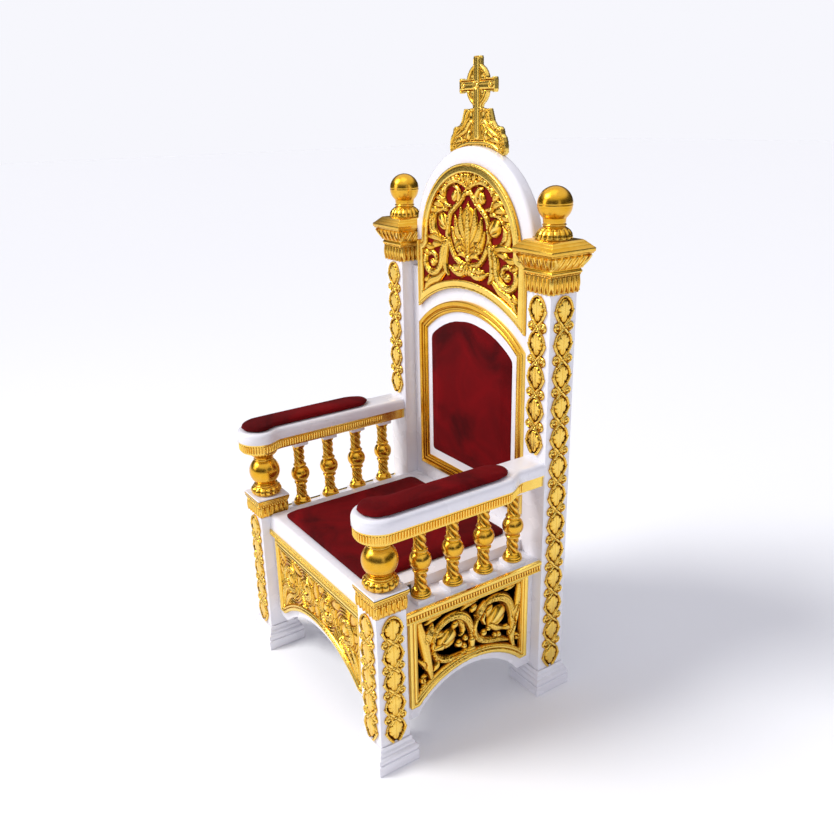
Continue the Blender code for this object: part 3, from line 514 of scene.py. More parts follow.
def carved_mesh(name, carving, inside, place, deep, wall=0.3):
    """Closed mesh of a carving inside an outline; boundary points are moved onto the outline."""
    step = carving.step
    cells = inside[:-1, :-1] + inside[1:, :-1] + inside[1:, 1:] + inside[:-1, 1:] > 0.0
    gu, gv = np.gradient(inside, step)
    near = np.zeros(inside.shape, int)
    for di in (0, 1):
        for dj in (0, 1):
            near[di:di + cells.shape[0], dj:dj + cells.shape[1]] += cells
    rim = (near > 0) & (near < 4)
    size = np.maximum(gu ** 2 + gv ** 2, 1e-6)
    shift = np.clip(inside / np.sqrt(size), -1.4 * step, 1.4 * step) / np.sqrt(size)
    u = np.where(rim, carving.u - shift * gu, carving.u)
    v = np.where(rim, carving.v - shift * gv, carving.v)
    index = np.full(inside.shape, -1)
    index[near > 0] = np.arange((near > 0).sum())
    keep = near > 0
    fu, fv, fw = u[keep], v[keep], carving.height[keep]
    ii, jj = np.nonzero(cells)
    quads = np.stack([index[ii, jj], index[ii + 1, jj], index[ii + 1, jj + 1], index[ii, jj + 1]], axis=1)
    edges = np.concatenate([quads[:, [0, 1]], quads[:, [1, 2]], quads[:, [2, 3]], quads[:, [3, 0]]])
    forward = {(int(a), int(b)) for a, b in edges}
    follow = {a: b for a, b in forward if (b, a) not in forward}
    loops = []
    left = dict(follow)
    while left:
        start = next(iter(left))
        loop = [start]
        at = left.pop(start)
        while at != start and at in left:
            loop.append(at)
            at = left.pop(at)
        loops.append(loop)
    count = len(fu)
    faces = quads.tolist() + back_faces(cells, index, count)
    for loop in loops:
        for a, b in zip(loop, loop[1:] + loop[:1]):
            faces.append((b, a, a + count, b + count))
    w = np.concatenate([fw * deep, 0.0 * fw])
    verts = np.stack(place(np.tile(fu, 2) * 0.001, np.tile(fv, 2) * 0.001, w), axis=1)
    mesh = raw_mesh(name, verts.tolist(), faces)
    # The height is kept as the depth attribute, from which the gilt's painted shade and highlight are worked
    # out
    rise = np.concatenate([fw, np.full(count, wall)]).astype(np.float32)
    mesh.attributes.new("depth", 'FLOAT', 'POINT').data.foreach_set("value", rise)
    return mesh


def back_faces(cells, index, count):
    """Flat back of a carved mesh: single cells at the rim, blocks of BLOCK by BLOCK cells inside."""
    rows, cols = cells.shape[0] // BLOCK, cells.shape[1] // BLOCK
    whole = cells[:rows * BLOCK, :cols * BLOCK].reshape(rows, BLOCK, cols, BLOCK).all(axis=(1, 3))
    whole = np.pad(whole, 1)
    single = cells.copy()
    faces = []
    for r, c in zip(*np.nonzero(whole)):
        i, j = (r - 1) * BLOCK, (c - 1) * BLOCK
        single[i:i + BLOCK, j:j + BLOCK] = False
        ring = []
        for beside, start, step in ((whole[r, c - 1], (i, j), (1, 0)),
                                    (whole[r + 1, c], (i + BLOCK, j), (0, 1)),
                                    (whole[r, c + 1], (i + BLOCK, j + BLOCK), (-1, 0)),
                                    (whole[r - 1, c], (i, j + BLOCK), (0, -1))):
            for k in range(1 if beside else BLOCK):
                ring.append(index[start[0] + k * step[0], start[1] + k * step[1]] + count)
        faces.append(ring[::-1])
    ii, jj = np.nonzero(single)
    corners = [index[ii, jj], index[ii, jj + 1], index[ii + 1, jj + 1], index[ii + 1, jj]]
    quads = np.stack(corners, axis=1) + count
    return faces + quads.tolist()


def arc(cu, cv, radius, start, end, steps):
    """Points on a circle, from one angle to another in degrees."""
    angles = np.radians(np.linspace(start, end, steps + 1))
    return [(cu + radius * math.cos(a), cv + radius * math.sin(a)) for a in angles]


def chord_radius(half, rise):
    """Radius of the arc with a half width and a rise."""
    return (half * half + rise * rise) / (2.0 * rise)


def arched_foot(half, foot, foot_half, arch, top, steps=40):
    """Board outline with two feet and an arch cut from its lower edge."""
    radius = chord_radius(foot_half, arch - foot)
    spread = math.degrees(math.asin(foot_half / radius))
    curve = arc(0.0, arch - radius, radius, 90.0 + spread, 90.0 - spread, steps)
    return [(-half, foot)] + curve + [(half, foot), (half, top), (-half, top)]


def arched_panel(half, low, radius, centre, steps=40):
    """Outline with straight sides and an arched top."""
    spread = math.degrees(math.asin(half / radius))
    return [(-half, low), (half, low)] + arc(0.0, centre, radius, 90.0 - spread, 90.0 + spread, steps)


def flip(points):
    """The points mirrored, in reverse order."""
    return [(-u, v) for u, v in reversed(points)]


# Places, read from the frame
post_low, post_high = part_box("post_rear_right")
front_low, front_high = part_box("post_front_right")
POST_X = (post_low.x + post_high.x) / 2.0
HALF = (post_high.x - post_low.x) / 2.0
FRONT_MID = (front_low.y + front_high.y) / 2.0
REAR_MID = (post_low.y + post_high.y) / 2.0
INNER_X = post_low.x
SPAN_X = INNER_X - GAP
BAY_LOW = front_high.y + GAP
BAY_HIGH = post_low.y - GAP
BAY_MID = (BAY_LOW + BAY_HIGH) / 2.0
board_low, board_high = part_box("back_board")
HEAD_INSET = 0.0231     # the round head is narrower than the bay between the posts
HEAD_R = INNER_X - HEAD_INSET
HEAD_Z = board_high.z - HEAD_R
BACK_Y = board_low.y
FRAME_HALF, FRAME_RISE, FRAME_WIDE, FRAME_DEEP = 0.2550, 0.1044, 0.0360, 0.0125
FRAME_R = chord_radius(FRAME_HALF, FRAME_RISE)
FRAME_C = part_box("back_frame")[1].z - FRAME_R
FRAME_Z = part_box("back_frame")[0].z


# White woodwork
def rounded_ring(x, y, half_x, half_y, z, radius):
    """Level rectangle with rounded corners."""
    ring = []
    for cx, cy, start in ((1, 1, 0.0), (-1, 1, 90.0), (-1, -1, 180.0), (1, -1, 270.0)):
        ring += [Vector((x + cx * (half_x - radius) + radius * math.cos(math.radians(start + a)),
                         y + cy * (half_y - radius) + radius * math.sin(math.radians(start + a)), z))
                 for a in (0.0, 30.0, 60.0, 90.0)]
    return ring


def square_moulding(name, x, y, profile, radius, finish, nodes):
    """Piece with a square plan: profile gives half widths at heights."""
    rings = [rounded_ring(x, y, half, half, z, radius) for half, z in profile]
    return loft(name, rings, finish, nodes, sharp=32.0)


def eased(points, radius=0.0008):
    """Profile with its corners cut back a little, so that edges catch the light."""
    made = [points[0]]
    for before, here, after in zip(points, points[1:], points[2:]):
        for other in (before, after):
            span = math.hypot(other[0] - here[0], other[1] - here[1])
            t = min(radius / max(span, 1e-6), 0.45)
            made.append((here[0] + (other[0] - here[0]) * t, here[1] + (other[1] - here[1]) * t))
    made.append(points[-1])
    return made


def plinth_profile(full, height, low):
    """Steps of a plinth, from insets and shares of its height."""
    shares = ((0.0018, 0.0), (0.0, 0.02), (0.0, 0.40), (0.0020, 0.425), (0.0038, 0.43), (0.0038, 0.47),
              (0.0012, 0.50), (0.0004, 0.56), (0.0014, 0.62), (0.0044, 0.67), (0.0080, 0.685),
              (0.0084, 0.78), (0.0092, 0.80), (0.0128, 0.835), (0.0134, 0.86), (0.0136, 1.0))
    return [(full - inset, low + height * rise) for inset, rise in shares]


for side, mark in SIDES:
    for row, y in (("front", FRONT_MID), ("rear", REAR_MID)):
        x = side * POST_X
        low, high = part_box("plinth_%s_%s" % (row, mark))
        profile = plinth_profile((high.x - low.x) / 2.0, high.z - low.z, low.z)
        square_moulding("white_plinth_%s_%s" % (row, mark), x, y, profile, 0.0012, WHITE,
                        ["plinth_%s_%s" % (row, mark)])
        low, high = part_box("post_%s_%s" % (row, mark))
        levels = [(HALF - 0.0012, low.z), (HALF, low.z + 0.0012), (HALF, high.z - 0.0012),
                  (HALF - 0.0012, high.z)]
        square_moulding("white_post_%s_%s" % (row, mark), x, y, levels, 0.0020, WHITE,
                        ["post_%s_%s" % (row, mark)])


def upright_ring(points, y):
    """Outline stood upright at a depth."""
    return [(u, y, v) for u, v in points]


def board(name, outline_at, near, far, axis, node, rounding=0.0025):
    """Board whose edges are rounded: outline_at(inset) is its outline, set in."""
    stops = [(0.0, rounding), (0.3 * rounding, 0.3 * rounding), (rounding, 0.0)]
    sign = 1.0 if far > near else -1.0
    levels = [(near + sign * d, inset) for d, inset in stops]
    levels += [(far - sign * d, inset) for d, inset in reversed(stops)]
    if axis == "y":
        rings = [[(u, w, v) for u, v in outline_at(inset)] for w, inset in levels]
    else:
        rings = [[(w, u + BAY_MID, v) for u, v in outline_at(inset)] for w, inset in levels]
    return loft(name, rings, WHITE, [node], sharp=50.0)


def foot_board(half, foot, foot_half, arch, top):
    """Outline of an arched board as a function of its inset."""
    return lambda inset: arched_foot(half, foot + inset, foot_half + inset, arch + inset, top)


low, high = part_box("front_board")
FRONT_FOOT, FRONT_ARCH = 0.0573, 0.098      # width of a foot and rise of the arch
SIDE_FOOT, SIDE_ARCH = 0.0528, 0.095
front_shape = foot_board(SPAN_X, low.z, SPAN_X - FRONT_FOOT, low.z + FRONT_ARCH, high.z)
board("white_front_board", front_shape, low.y, high.y, "y", "front_board")
low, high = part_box("rear_board")
board("white_rear_board", front_shape, low.y, high.y, "y", "rear_board")
for side, mark in SIDES:
    low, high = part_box("side_board_" + mark)
    half = (high.y - low.y) / 2.0
    shape = foot_board(half, low.z, half - SIDE_FOOT, low.z + SIDE_ARCH, high.z)
    board("white_side_board_" + mark, shape, low.x, high.x, "x", "side_board_" + mark)


SHOULDER_Z = 1.205      # the back board steps in here, to pass beside the capitals
STEP_INSET = 0.0301


def head_outline(inset):
    """Back board: straight below, stepped in beside the capitals, round above."""
    radius = HEAD_R - inset
    step_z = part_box("capital_rear_right")[1].z + GAP
    step_x = SPAN_X - STEP_INSET
    start = math.degrees(math.asin((step_z - HEAD_Z) / radius))
    right = [(SPAN_X, board_low.z), (SPAN_X, SHOULDER_Z), (step_x, SHOULDER_Z), (step_x, step_z)]
    return right + arc(0.0, HEAD_Z, radius, start, 180.0 - start, 72) + flip(right)


stops = [(0.0, 0.0100), (0.0010, 0.0064), (0.0030, 0.0030), (0.0060, 0.0008), (0.0100, 0.0)]
levels = [(board_low.y + d, inset) for d, inset in stops]
levels += [(board_high.y - d, inset) for d, inset in reversed(stops)]
loft("white_back_board", [upright_ring(head_outline(inset), y) for y, inset in levels], WHITE,
     ["back_board"], sharp=40.0)

# Seat deck with its rounded front edge
low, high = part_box("seat_deck")
NOSE = 0.012            # radius of the front edge
NECK_INSET = 0.0081     # the deck is narrower where it passes the front capitals
NOTCH_Y = front_high.y + 0.0084
cap_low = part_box("capital_front_right")[0].z - GAP


def deck_ring(z):
    """Plan of the seat board at a height; its front edge is rounded, and notched round the posts."""
    rise = max(z - (high.z - NOSE), 0.0)
    front = low.y + NOSE - math.sqrt(max(NOSE ** 2 - rise ** 2, 0.0))
    narrow = SPAN_X - NECK_INSET if z >= cap_low else SPAN_X
    right = [(narrow, front), (narrow, NOTCH_Y if z >= cap_low else 0.7 * NOTCH_Y), (SPAN_X, NOTCH_Y),
             (SPAN_X, high.y)]
    return [(u, v, z) for u, v in right + flip(right)]


zs = [low.z, cap_low - GAP, cap_low]
zs += [high.z - NOSE * (1.0 - math.sin(math.radians(a))) for a in range(0, 91, 9)]
loft("white_seat_deck", [deck_ring(z) for z in sorted(zs)], WHITE, ["seat_deck"],
     sharp=40.0)

# Arm rails
ARM_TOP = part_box("arm_rail_right")[1].z
TRIM_LOW, TRIM_TOP = (v.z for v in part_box("arm_trim_right"))
ARM_Z = TRIM_TOP + GAP
OUT_X = POST_X + HALF
arm_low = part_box("arm_rail_right")[0]


def ease(t):
    """Smooth step from 0 to 1."""
    return t * t * (3.0 - 2.0 * t)


def arm_path():
    """Plan of the arm from its outer rear corner round the head to the inner rear corner."""
    out_x, rear_x, in_x, head_x = OUT_X + 0.030, OUT_X + 0.001, INNER_X + 0.0064, INNER_X - 0.0146
    half = (out_x - head_x) / 2.0
    middle = (out_x + head_x) / 2.0
    head_y = arm_low.y + half
    bay = BAY_HIGH - BAY_LOW
    narrow_y, wide_y = BAY_HIGH - 0.167 * bay, BAY_HIGH - 0.314 * bay
    path = [(rear_x, BAY_HIGH)]
    for i in range(13):
        t = i / 12.0
        path.append((rear_x + (out_x - rear_x) * ease(t), narrow_y + (wide_y - narrow_y) * t))
    path += [(out_x, wide_y + (head_y - wide_y) * i / 6.0) for i in range(1, 6)]
    for i in range(31):
        a = math.pi * i / 30.0
        path.append((middle + half * math.cos(a), head_y - half * math.sin(a)))
    for i in range(1, 9):
        t = i / 8.0
        path.append((head_x + (in_x - head_x) * ease(t), head_y + 0.055 * t))
    path += [(in_x, head_y + 0.055 + (BAY_HIGH - head_y - 0.055) * i / 5.0) for i in range(1, 6)]
    return path


def set_in(path, depth):
    """Move an open path inwards by depth, keeping the y of both ends."""
    moved = []
    last = len(path) - 1
    for i, (x, y) in enumerate(path):
        before = Vector(path[i]) - Vector(path[i - 1]) if i else Vector(path[1]) - Vector(path[0])
        after = Vector(path[i + 1]) - Vector(path[i]) if i < last else before.copy()
        before.normalize()
        after.normalize()
        normal = Vector((before.y + after.y, -before.x - after.x)).normalized()
        reach = depth / max(normal.dot(Vector((before.y, -before.x))), 0.5)
        moved.append((x + normal.x * reach, y if i in (0, last) else y + normal.y * reach))
    return moved


ARM = arm_path()
TWIST_BOXES = [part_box("twist_baluster_right_%d" % i) for i in range(1, 5)]
TWIST_YS = [(twist_low.y + twist_high.y) / 2.0 for twist_low, twist_high in TWIST_BOXES]
BLOCK_TOP = TWIST_BOXES[0][1].z + GAP
BLOCK_BASE = TWIST_BOXES[0][0].z - GAP


def block_meshes(side, half, low, high):
    """Square pads over or under the four balusters."""
    made = []
    for y in TWIST_YS:
        rings = [rounded_ring(side * POST_X, y, half - d, half - d, z, 0.0012)
                 for d, z in ((0.0010, low), (0.0, low + 0.0010), (0.0, high - 0.0010), (0.0010, high))]
        made.append(raw_mesh("block", *skin(rings)))
    return made


for side, mark in SIDES:
    bull = [(0.0125 * (1.0 - math.sin(math.radians(a))),
             ARM_TOP - 0.0160 * (1.0 - math.cos(math.radians(a)))) for a in range(0, 91, 10)]
    levels = bull + [(0.0, ARM_Z + 0.0015), (0.0012, ARM_Z), (0.0090, ARM_Z), (0.0090, TRIM_LOW)]
    rings = [[(side * x, y, z) for x, y in set_in(ARM, depth)] for depth, z in levels]
    rail = raw_mesh("rail", *skin(rings))
    blocks = block_meshes(side, 0.0241, BLOCK_TOP, TRIM_LOW + 0.002)
    mesh = join_meshes("white_arm_" + mark, [rail] + blocks)
    settle("white_arm_" + mark, mesh, WHITE, ["arm_rail_" + mark], sharp=40.0)
    low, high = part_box("side_rail_" + mark)
    rail_top = BLOCK_BASE - 0.014
    middle = (low.x + high.x) / 2.0
    rings = [rounded_ring(middle, BAY_MID, (high.x - low.x) / 2.0 - d, (high.y - low.y) / 2.0 - d, z,
                          0.0012) for d, z in ((0.0008, low.z), (0.0, low.z + 0.0008),
                                               (0.0, rail_top - 0.0010), (0.0010, rail_top))]
    rail = raw_mesh("rail", *skin(rings))
    blocks = block_meshes(side, 0.0273, rail_top - 0.002, BLOCK_BASE)
    mesh = join_meshes("white_side_rail_" + mark, [rail] + blocks)
    settle("white_side_rail_" + mark, mesh, WHITE, ["side_rail_" + mark], sharp=40.0)


# Turned and twisted gilt work
def dense(points, step=0.0014, soften=1):
    """Profile resampled to even steps and softened by a little."""
    pts = np.array(points, float)
    lengths = np.concatenate([[0.0], np.cumsum(np.hypot(*np.diff(pts, axis=0).T))])
    s = np.linspace(0.0, lengths[-1], max(int(lengths[-1] / step), 8))
    r = np.interp(s, lengths, pts[:, 0])
    z = np.interp(s, lengths, pts[:, 1])
    for _ in range(soften):
        r[1:-1] = 0.25 * r[:-2] + 0.5 * r[1:-1] + 0.25 * r[2:]
        z[1:-1] = 0.25 * z[:-2] + 0.5 * z[1:-1] + 0.25 * z[2:]
    return r, z


def turned(name, x, y, profile, sides, node, shape):
    """Turned piece; shape(angles, height) returns how much the cutter takes off."""
    r, z = dense(profile)
    angles = np.linspace(0.0, TAU, sides, endpoint=False)
    rings = []
    for radius, level in zip(r, z):
        cut = radius - shape(angles, level)
        around = [x + cut * np.cos(angles), y + cut * np.sin(angles), np.full(sides, level)]
        rings.append(np.stack(around, axis=1).tolist())
    return loft(name, rings, GOLD, [node], sharp=70.0)


def ball(radius, z, low_deg, high_deg, steps=14):
    """Part of a ball's profile."""
    return arc(0.0, z, radius, low_deg, high_deg, steps)


def band(z, low, high):
    """1 between two heights and 0 outside them, with soft ends."""
    return float(np.clip(min((z - low), (high - z)) / 0.003, 0.0, 1.0))


def raised(low, points):
    """Profile points given as radius and height above a level."""
    return [(radius, low + height) for radius, height in points]


def twist_profile(low, high):
    """Foot, two shafts with a ball between their rings, and a plain head."""
    middle = low + 0.512 * (high - low)
    r = 0.030
    top = high - low
    foot = ((0.0260, 0.0), (0.0282, 0.002), (0.0286, 0.006), (0.0262, 0.0095), (0.0270, 0.0115),
            (0.0262, 0.0140), (0.0215, 0.0200), (0.0186, 0.0260), (0.0174, 0.034))
    lower = raised(middle - r, ((0.0176, -0.0045), (0.0216, -0.0025), (0.0216, 0.0012), (0.0188, 0.0030)))
    upper = raised(middle + r, ((0.0188, -0.0030), (0.0212, -0.0012), (0.0212, 0.0025), (0.0172, 0.0045)))
    head = [(0.0178, low + 0.90 * top), (0.0198, low + 0.965 * top), (0.0206, low + 0.975 * top),
            (0.0206, high)]
    return raised(low, foot) + lower + ball(r, middle, -50.0, 50.0) + upper + head


def twisted(low, high):
    """Five rope strands on the two shafts; the ball and rings stay plain."""
    middle = low + 0.512 * (high - low)
    spans = ((low + 0.022, middle - 0.0355), (middle + 0.0355, high - 0.009))

    def cut(angles, level):
        near = max(band(level, a, b) for a, b in spans)
        strand = np.abs(np.sin(2.5 * angles + (level - low) * 150.0))
        return near * 0.0060 * (1.0 - strand) ** 1.2

    return cut


for side, mark in SIDES:
    for i, y in enumerate(TWIST_YS):
        node = "twist_baluster_%s_%d" % (mark, i + 1)
        low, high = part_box(node)
        turned("gilt_twist_%s_%d" % (mark, i + 1), side * POST_X, y, twist_profile(low.z, high.z), 52, node,
               twisted(low.z, high.z))


def ball_baluster_profile(low, high):
    """Cushion foot, a big ball, and a cup that opens under the arm."""
    r = 0.0478
    middle = low + 0.508 * 0.148
    foot = ((0.0400, 0.0), (0.0440, 0.002), (0.0482, 0.008), (0.0486, 0.014), (0.0462, 0.020),
            (0.0400, 0.0265), (0.0355, 0.0285), (0.0375, 0.0305), (0.0368, 0.0330), (0.0310, 0.0350))
    neck = ((0.0280, 0.0395), (0.0310, 0.0410), (0.0310, 0.0435), (0.0285, 0.0452), (0.0300, 0.0500),
            (0.0370, 0.0560))
    cup = [(0.0440, high - 0.0080), (0.0470, high - 0.0030), (0.0470, high)]
    return raised(low, foot) + ball(r, middle, -49.0, 52.0, 20) + raised(middle, neck) + cup


def gadroons(low, high):
    """Lotus petals round the base, a turned line on the ball, and flutes under the arm."""
    def cut(angles, level):
        base = band(level, low + 0.0015, low + 0.027)
        petal = np.abs(np.sin(7.0 * angles))
        cup = band(level, high - 0.022, high + 0.01)
        flute = np.abs(np.sin(13.0 * angles))
        line = math.exp(-((level - low - 0.058) / 0.0007) ** 2)
        line += math.exp(-((level - low - 0.0612) / 0.0006) ** 2)
        return base * 0.0050 * (1.0 - petal) ** 1.4 + cup * 0.0032 * (1.0 - flute) + 0.0008 * line

    return cut


FINIAL_R = 0.0455


def finial_profile(low, high):
    """Collar, neck rings and a ball."""
    foot = ((0.0462, 0.0), (0.0486, 0.0016), (0.0486, 0.0090), (0.0472, 0.0106), (0.0478, 0.0122),
            (0.0466, 0.0150), (0.0425, 0.0215), (0.0352, 0.0275), (0.0300, 0.0305), (0.0282, 0.0330),
            (0.0312, 0.0350), (0.0312, 0.0376), (0.0276, 0.0394), (0.0292, 0.0412), (0.0292, 0.0430))
    return raised(low, foot) + ball(FINIAL_R, high - FINIAL_R, -49.0, 88.0, 26)


def petals(low, high):
    """Scalloped collar of petals on the shoulder, and two fine lines round the ball."""
    middle = high - FINIAL_R

    def cut(angles, level):
        collar = band(level, low + 0.0015, low + 0.0275)
        petal = np.abs(np.sin(8.0 * angles))
        line = math.exp(-((level - middle) / 0.0006) ** 2)
        line += math.exp(-((level - middle + 0.0075) / 0.0006) ** 2)
        return collar * 0.0034 * (1.0 - petal) ** 1.6 + 0.0009 * line

    return cut


for side, mark in SIDES:
    low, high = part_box("ball_baluster_" + mark)
    turned("gilt_ball_baluster_" + mark, side * POST_X, FRONT_MID, ball_baluster_profile(low.z, high.z), 96,
           "ball_baluster_" + mark, gadroons(low.z, high.z))
    low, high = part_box("finial_" + mark)
    turned("gilt_finial_" + mark, side * POST_X, REAR_MID, finial_profile(low.z, high.z), 96,
           "finial_" + mark, petals(low.z, high.z))


# Small ornament shapes, X along the path, -Y outwards, hanging down from Z = 0
def tongue(width, drop, thick, lean=0.0):
    """Hanging leaf tongue with a raised midrib and a pointed tip."""
    rows = 7
    cols = (-1.0, -0.62, -0.24, 0.0, 0.24, 0.62, 1.0)
    lift = (0.0, 0.75, 0.62, 1.0, 0.62, 0.75, 0.0)
    verts = []
    for i in range(rows):
        t = i / (rows - 1.0)
        swell = 0.78 + 0.30 * math.sin(math.pi * min(t * 1.15, 1.0))
        point = 1.0 - max(t - 0.55, 0.0) ** 1.2 * 1.9
        half = 0.5 * width * swell * point
        bulge = thick * (0.65 + 0.35 * math.sin(math.pi * t))
        for c, h in zip(cols, lift):
            verts.append((c * half + lean * t * width, -bulge * h, -drop * t))
    back = len(verts)
    for i in range(rows):
        x0, x1 = verts[i * 7][0], verts[i * 7 + 6][0]
        verts += [(x0, 0.0015, -drop * i / (rows - 1.0)), (x1, 0.0015, -drop * i / (rows - 1.0))]
    faces = []
    for i in range(rows - 1):
        for j in range(6):
            a = i * 7 + j
            faces.append((a, a + 7, a + 8, a + 1))
        b = back + 2 * i
        faces.append((b, b + 1, b + 3, b + 2))
        faces.append((i * 7, b, b + 2, i * 7 + 7))
        faces.append((i * 7 + 6, i * 7 + 13, b + 3, b + 1))
    faces.append(tuple(range(7)) + (back + 1, back))
    end = (rows - 1) * 7
    faces.append(tuple(range(end + 6, end - 1, -1)) + (back + 2 * rows - 2, back + 2 * rows - 1))
    return raw_mesh("tongue", verts, faces)


def reed(width, drop, thick):
    """Upright half-round reed with rounded ends."""
    rings = []
    for t, share in ((0.0, 0.35), (0.06, 0.85), (0.16, 1.0), (0.84, 1.0), (0.94, 0.85), (1.0, 0.35)):
        ring = [(-0.5 * width * share, 0.0015, -drop * t)]
        for a in (180.0, 135.0, 90.0, 45.0, 0.0):
            ring.append((0.5 * width * share * math.cos(math.radians(a)),
                         -thick * share * math.sin(math.radians(a)), -drop * t))
        ring.append((0.5 * width * share, 0.0015, -drop * t))
        rings.append(ring)
    return raw_mesh("reed", *skin(rings))


def bead(radius):
    """Small ball."""
    bm = bmesh.new()
    bmesh.ops.create_uvsphere(bm, u_segments=8, v_segments=6, radius=radius)
    mesh = bpy.data.meshes.new("bead")
    bm.to_mesh(mesh)
    bm.free()
    return mesh


def corner_leaves(x, y, reach, z, shape_mesh):
    """One leaf on each corner of a square, turned outwards."""
    meshes = []
    outwards = Matrix.Translation((0.0, -reach * math.sqrt(2.0), 0.0))
    for turn_deg in (45.0, 135.0, 225.0, 315.0):
        mesh = shape_mesh.copy()
        turn = Matrix.Rotation(math.radians(turn_deg), 4, 'Z')
        mesh.transform(Matrix.Translation((x, y, z)) @ turn @ outwards)
        meshes.append(mesh)
    return join_meshes("corners", meshes)


def shade_ground_strip(name, mesh, node):
    """Ground behind small ornament, painted dark brown as painted shade: its depth attribute stays at zero.
    """
    mesh.attributes.new("depth", 'FLOAT', 'POINT')
    return settle(name, mesh, GOLD, [node], sharp=45.0)


def shade_ground_ring(name, x, y, half, low, high, node):
    """Sunk ground round a post, painted dark as painted shade."""
    return shade_ground_strip(name, moulding(x, y, [(half, low), (half, high)]), node)


def arm_layer(name, side, depth, low):
    """Layer of the band under an arm, from its face at a depth to the band's inner edge."""
    outline = set_in(ARM, depth) + list(reversed(set_in(ARM, 0.0087)))
    return raw_mesh(name, *skin([[(side * x, y, z) for x, y in outline] for z in (low, TRIM_TOP)]))


def moulding(x, y, profile, radius=0.0008):
    """Square ring moulding round a post."""
    return raw_mesh("moulding", *skin([rounded_ring(x, y, half, half, z, radius) for half, z in profile]))


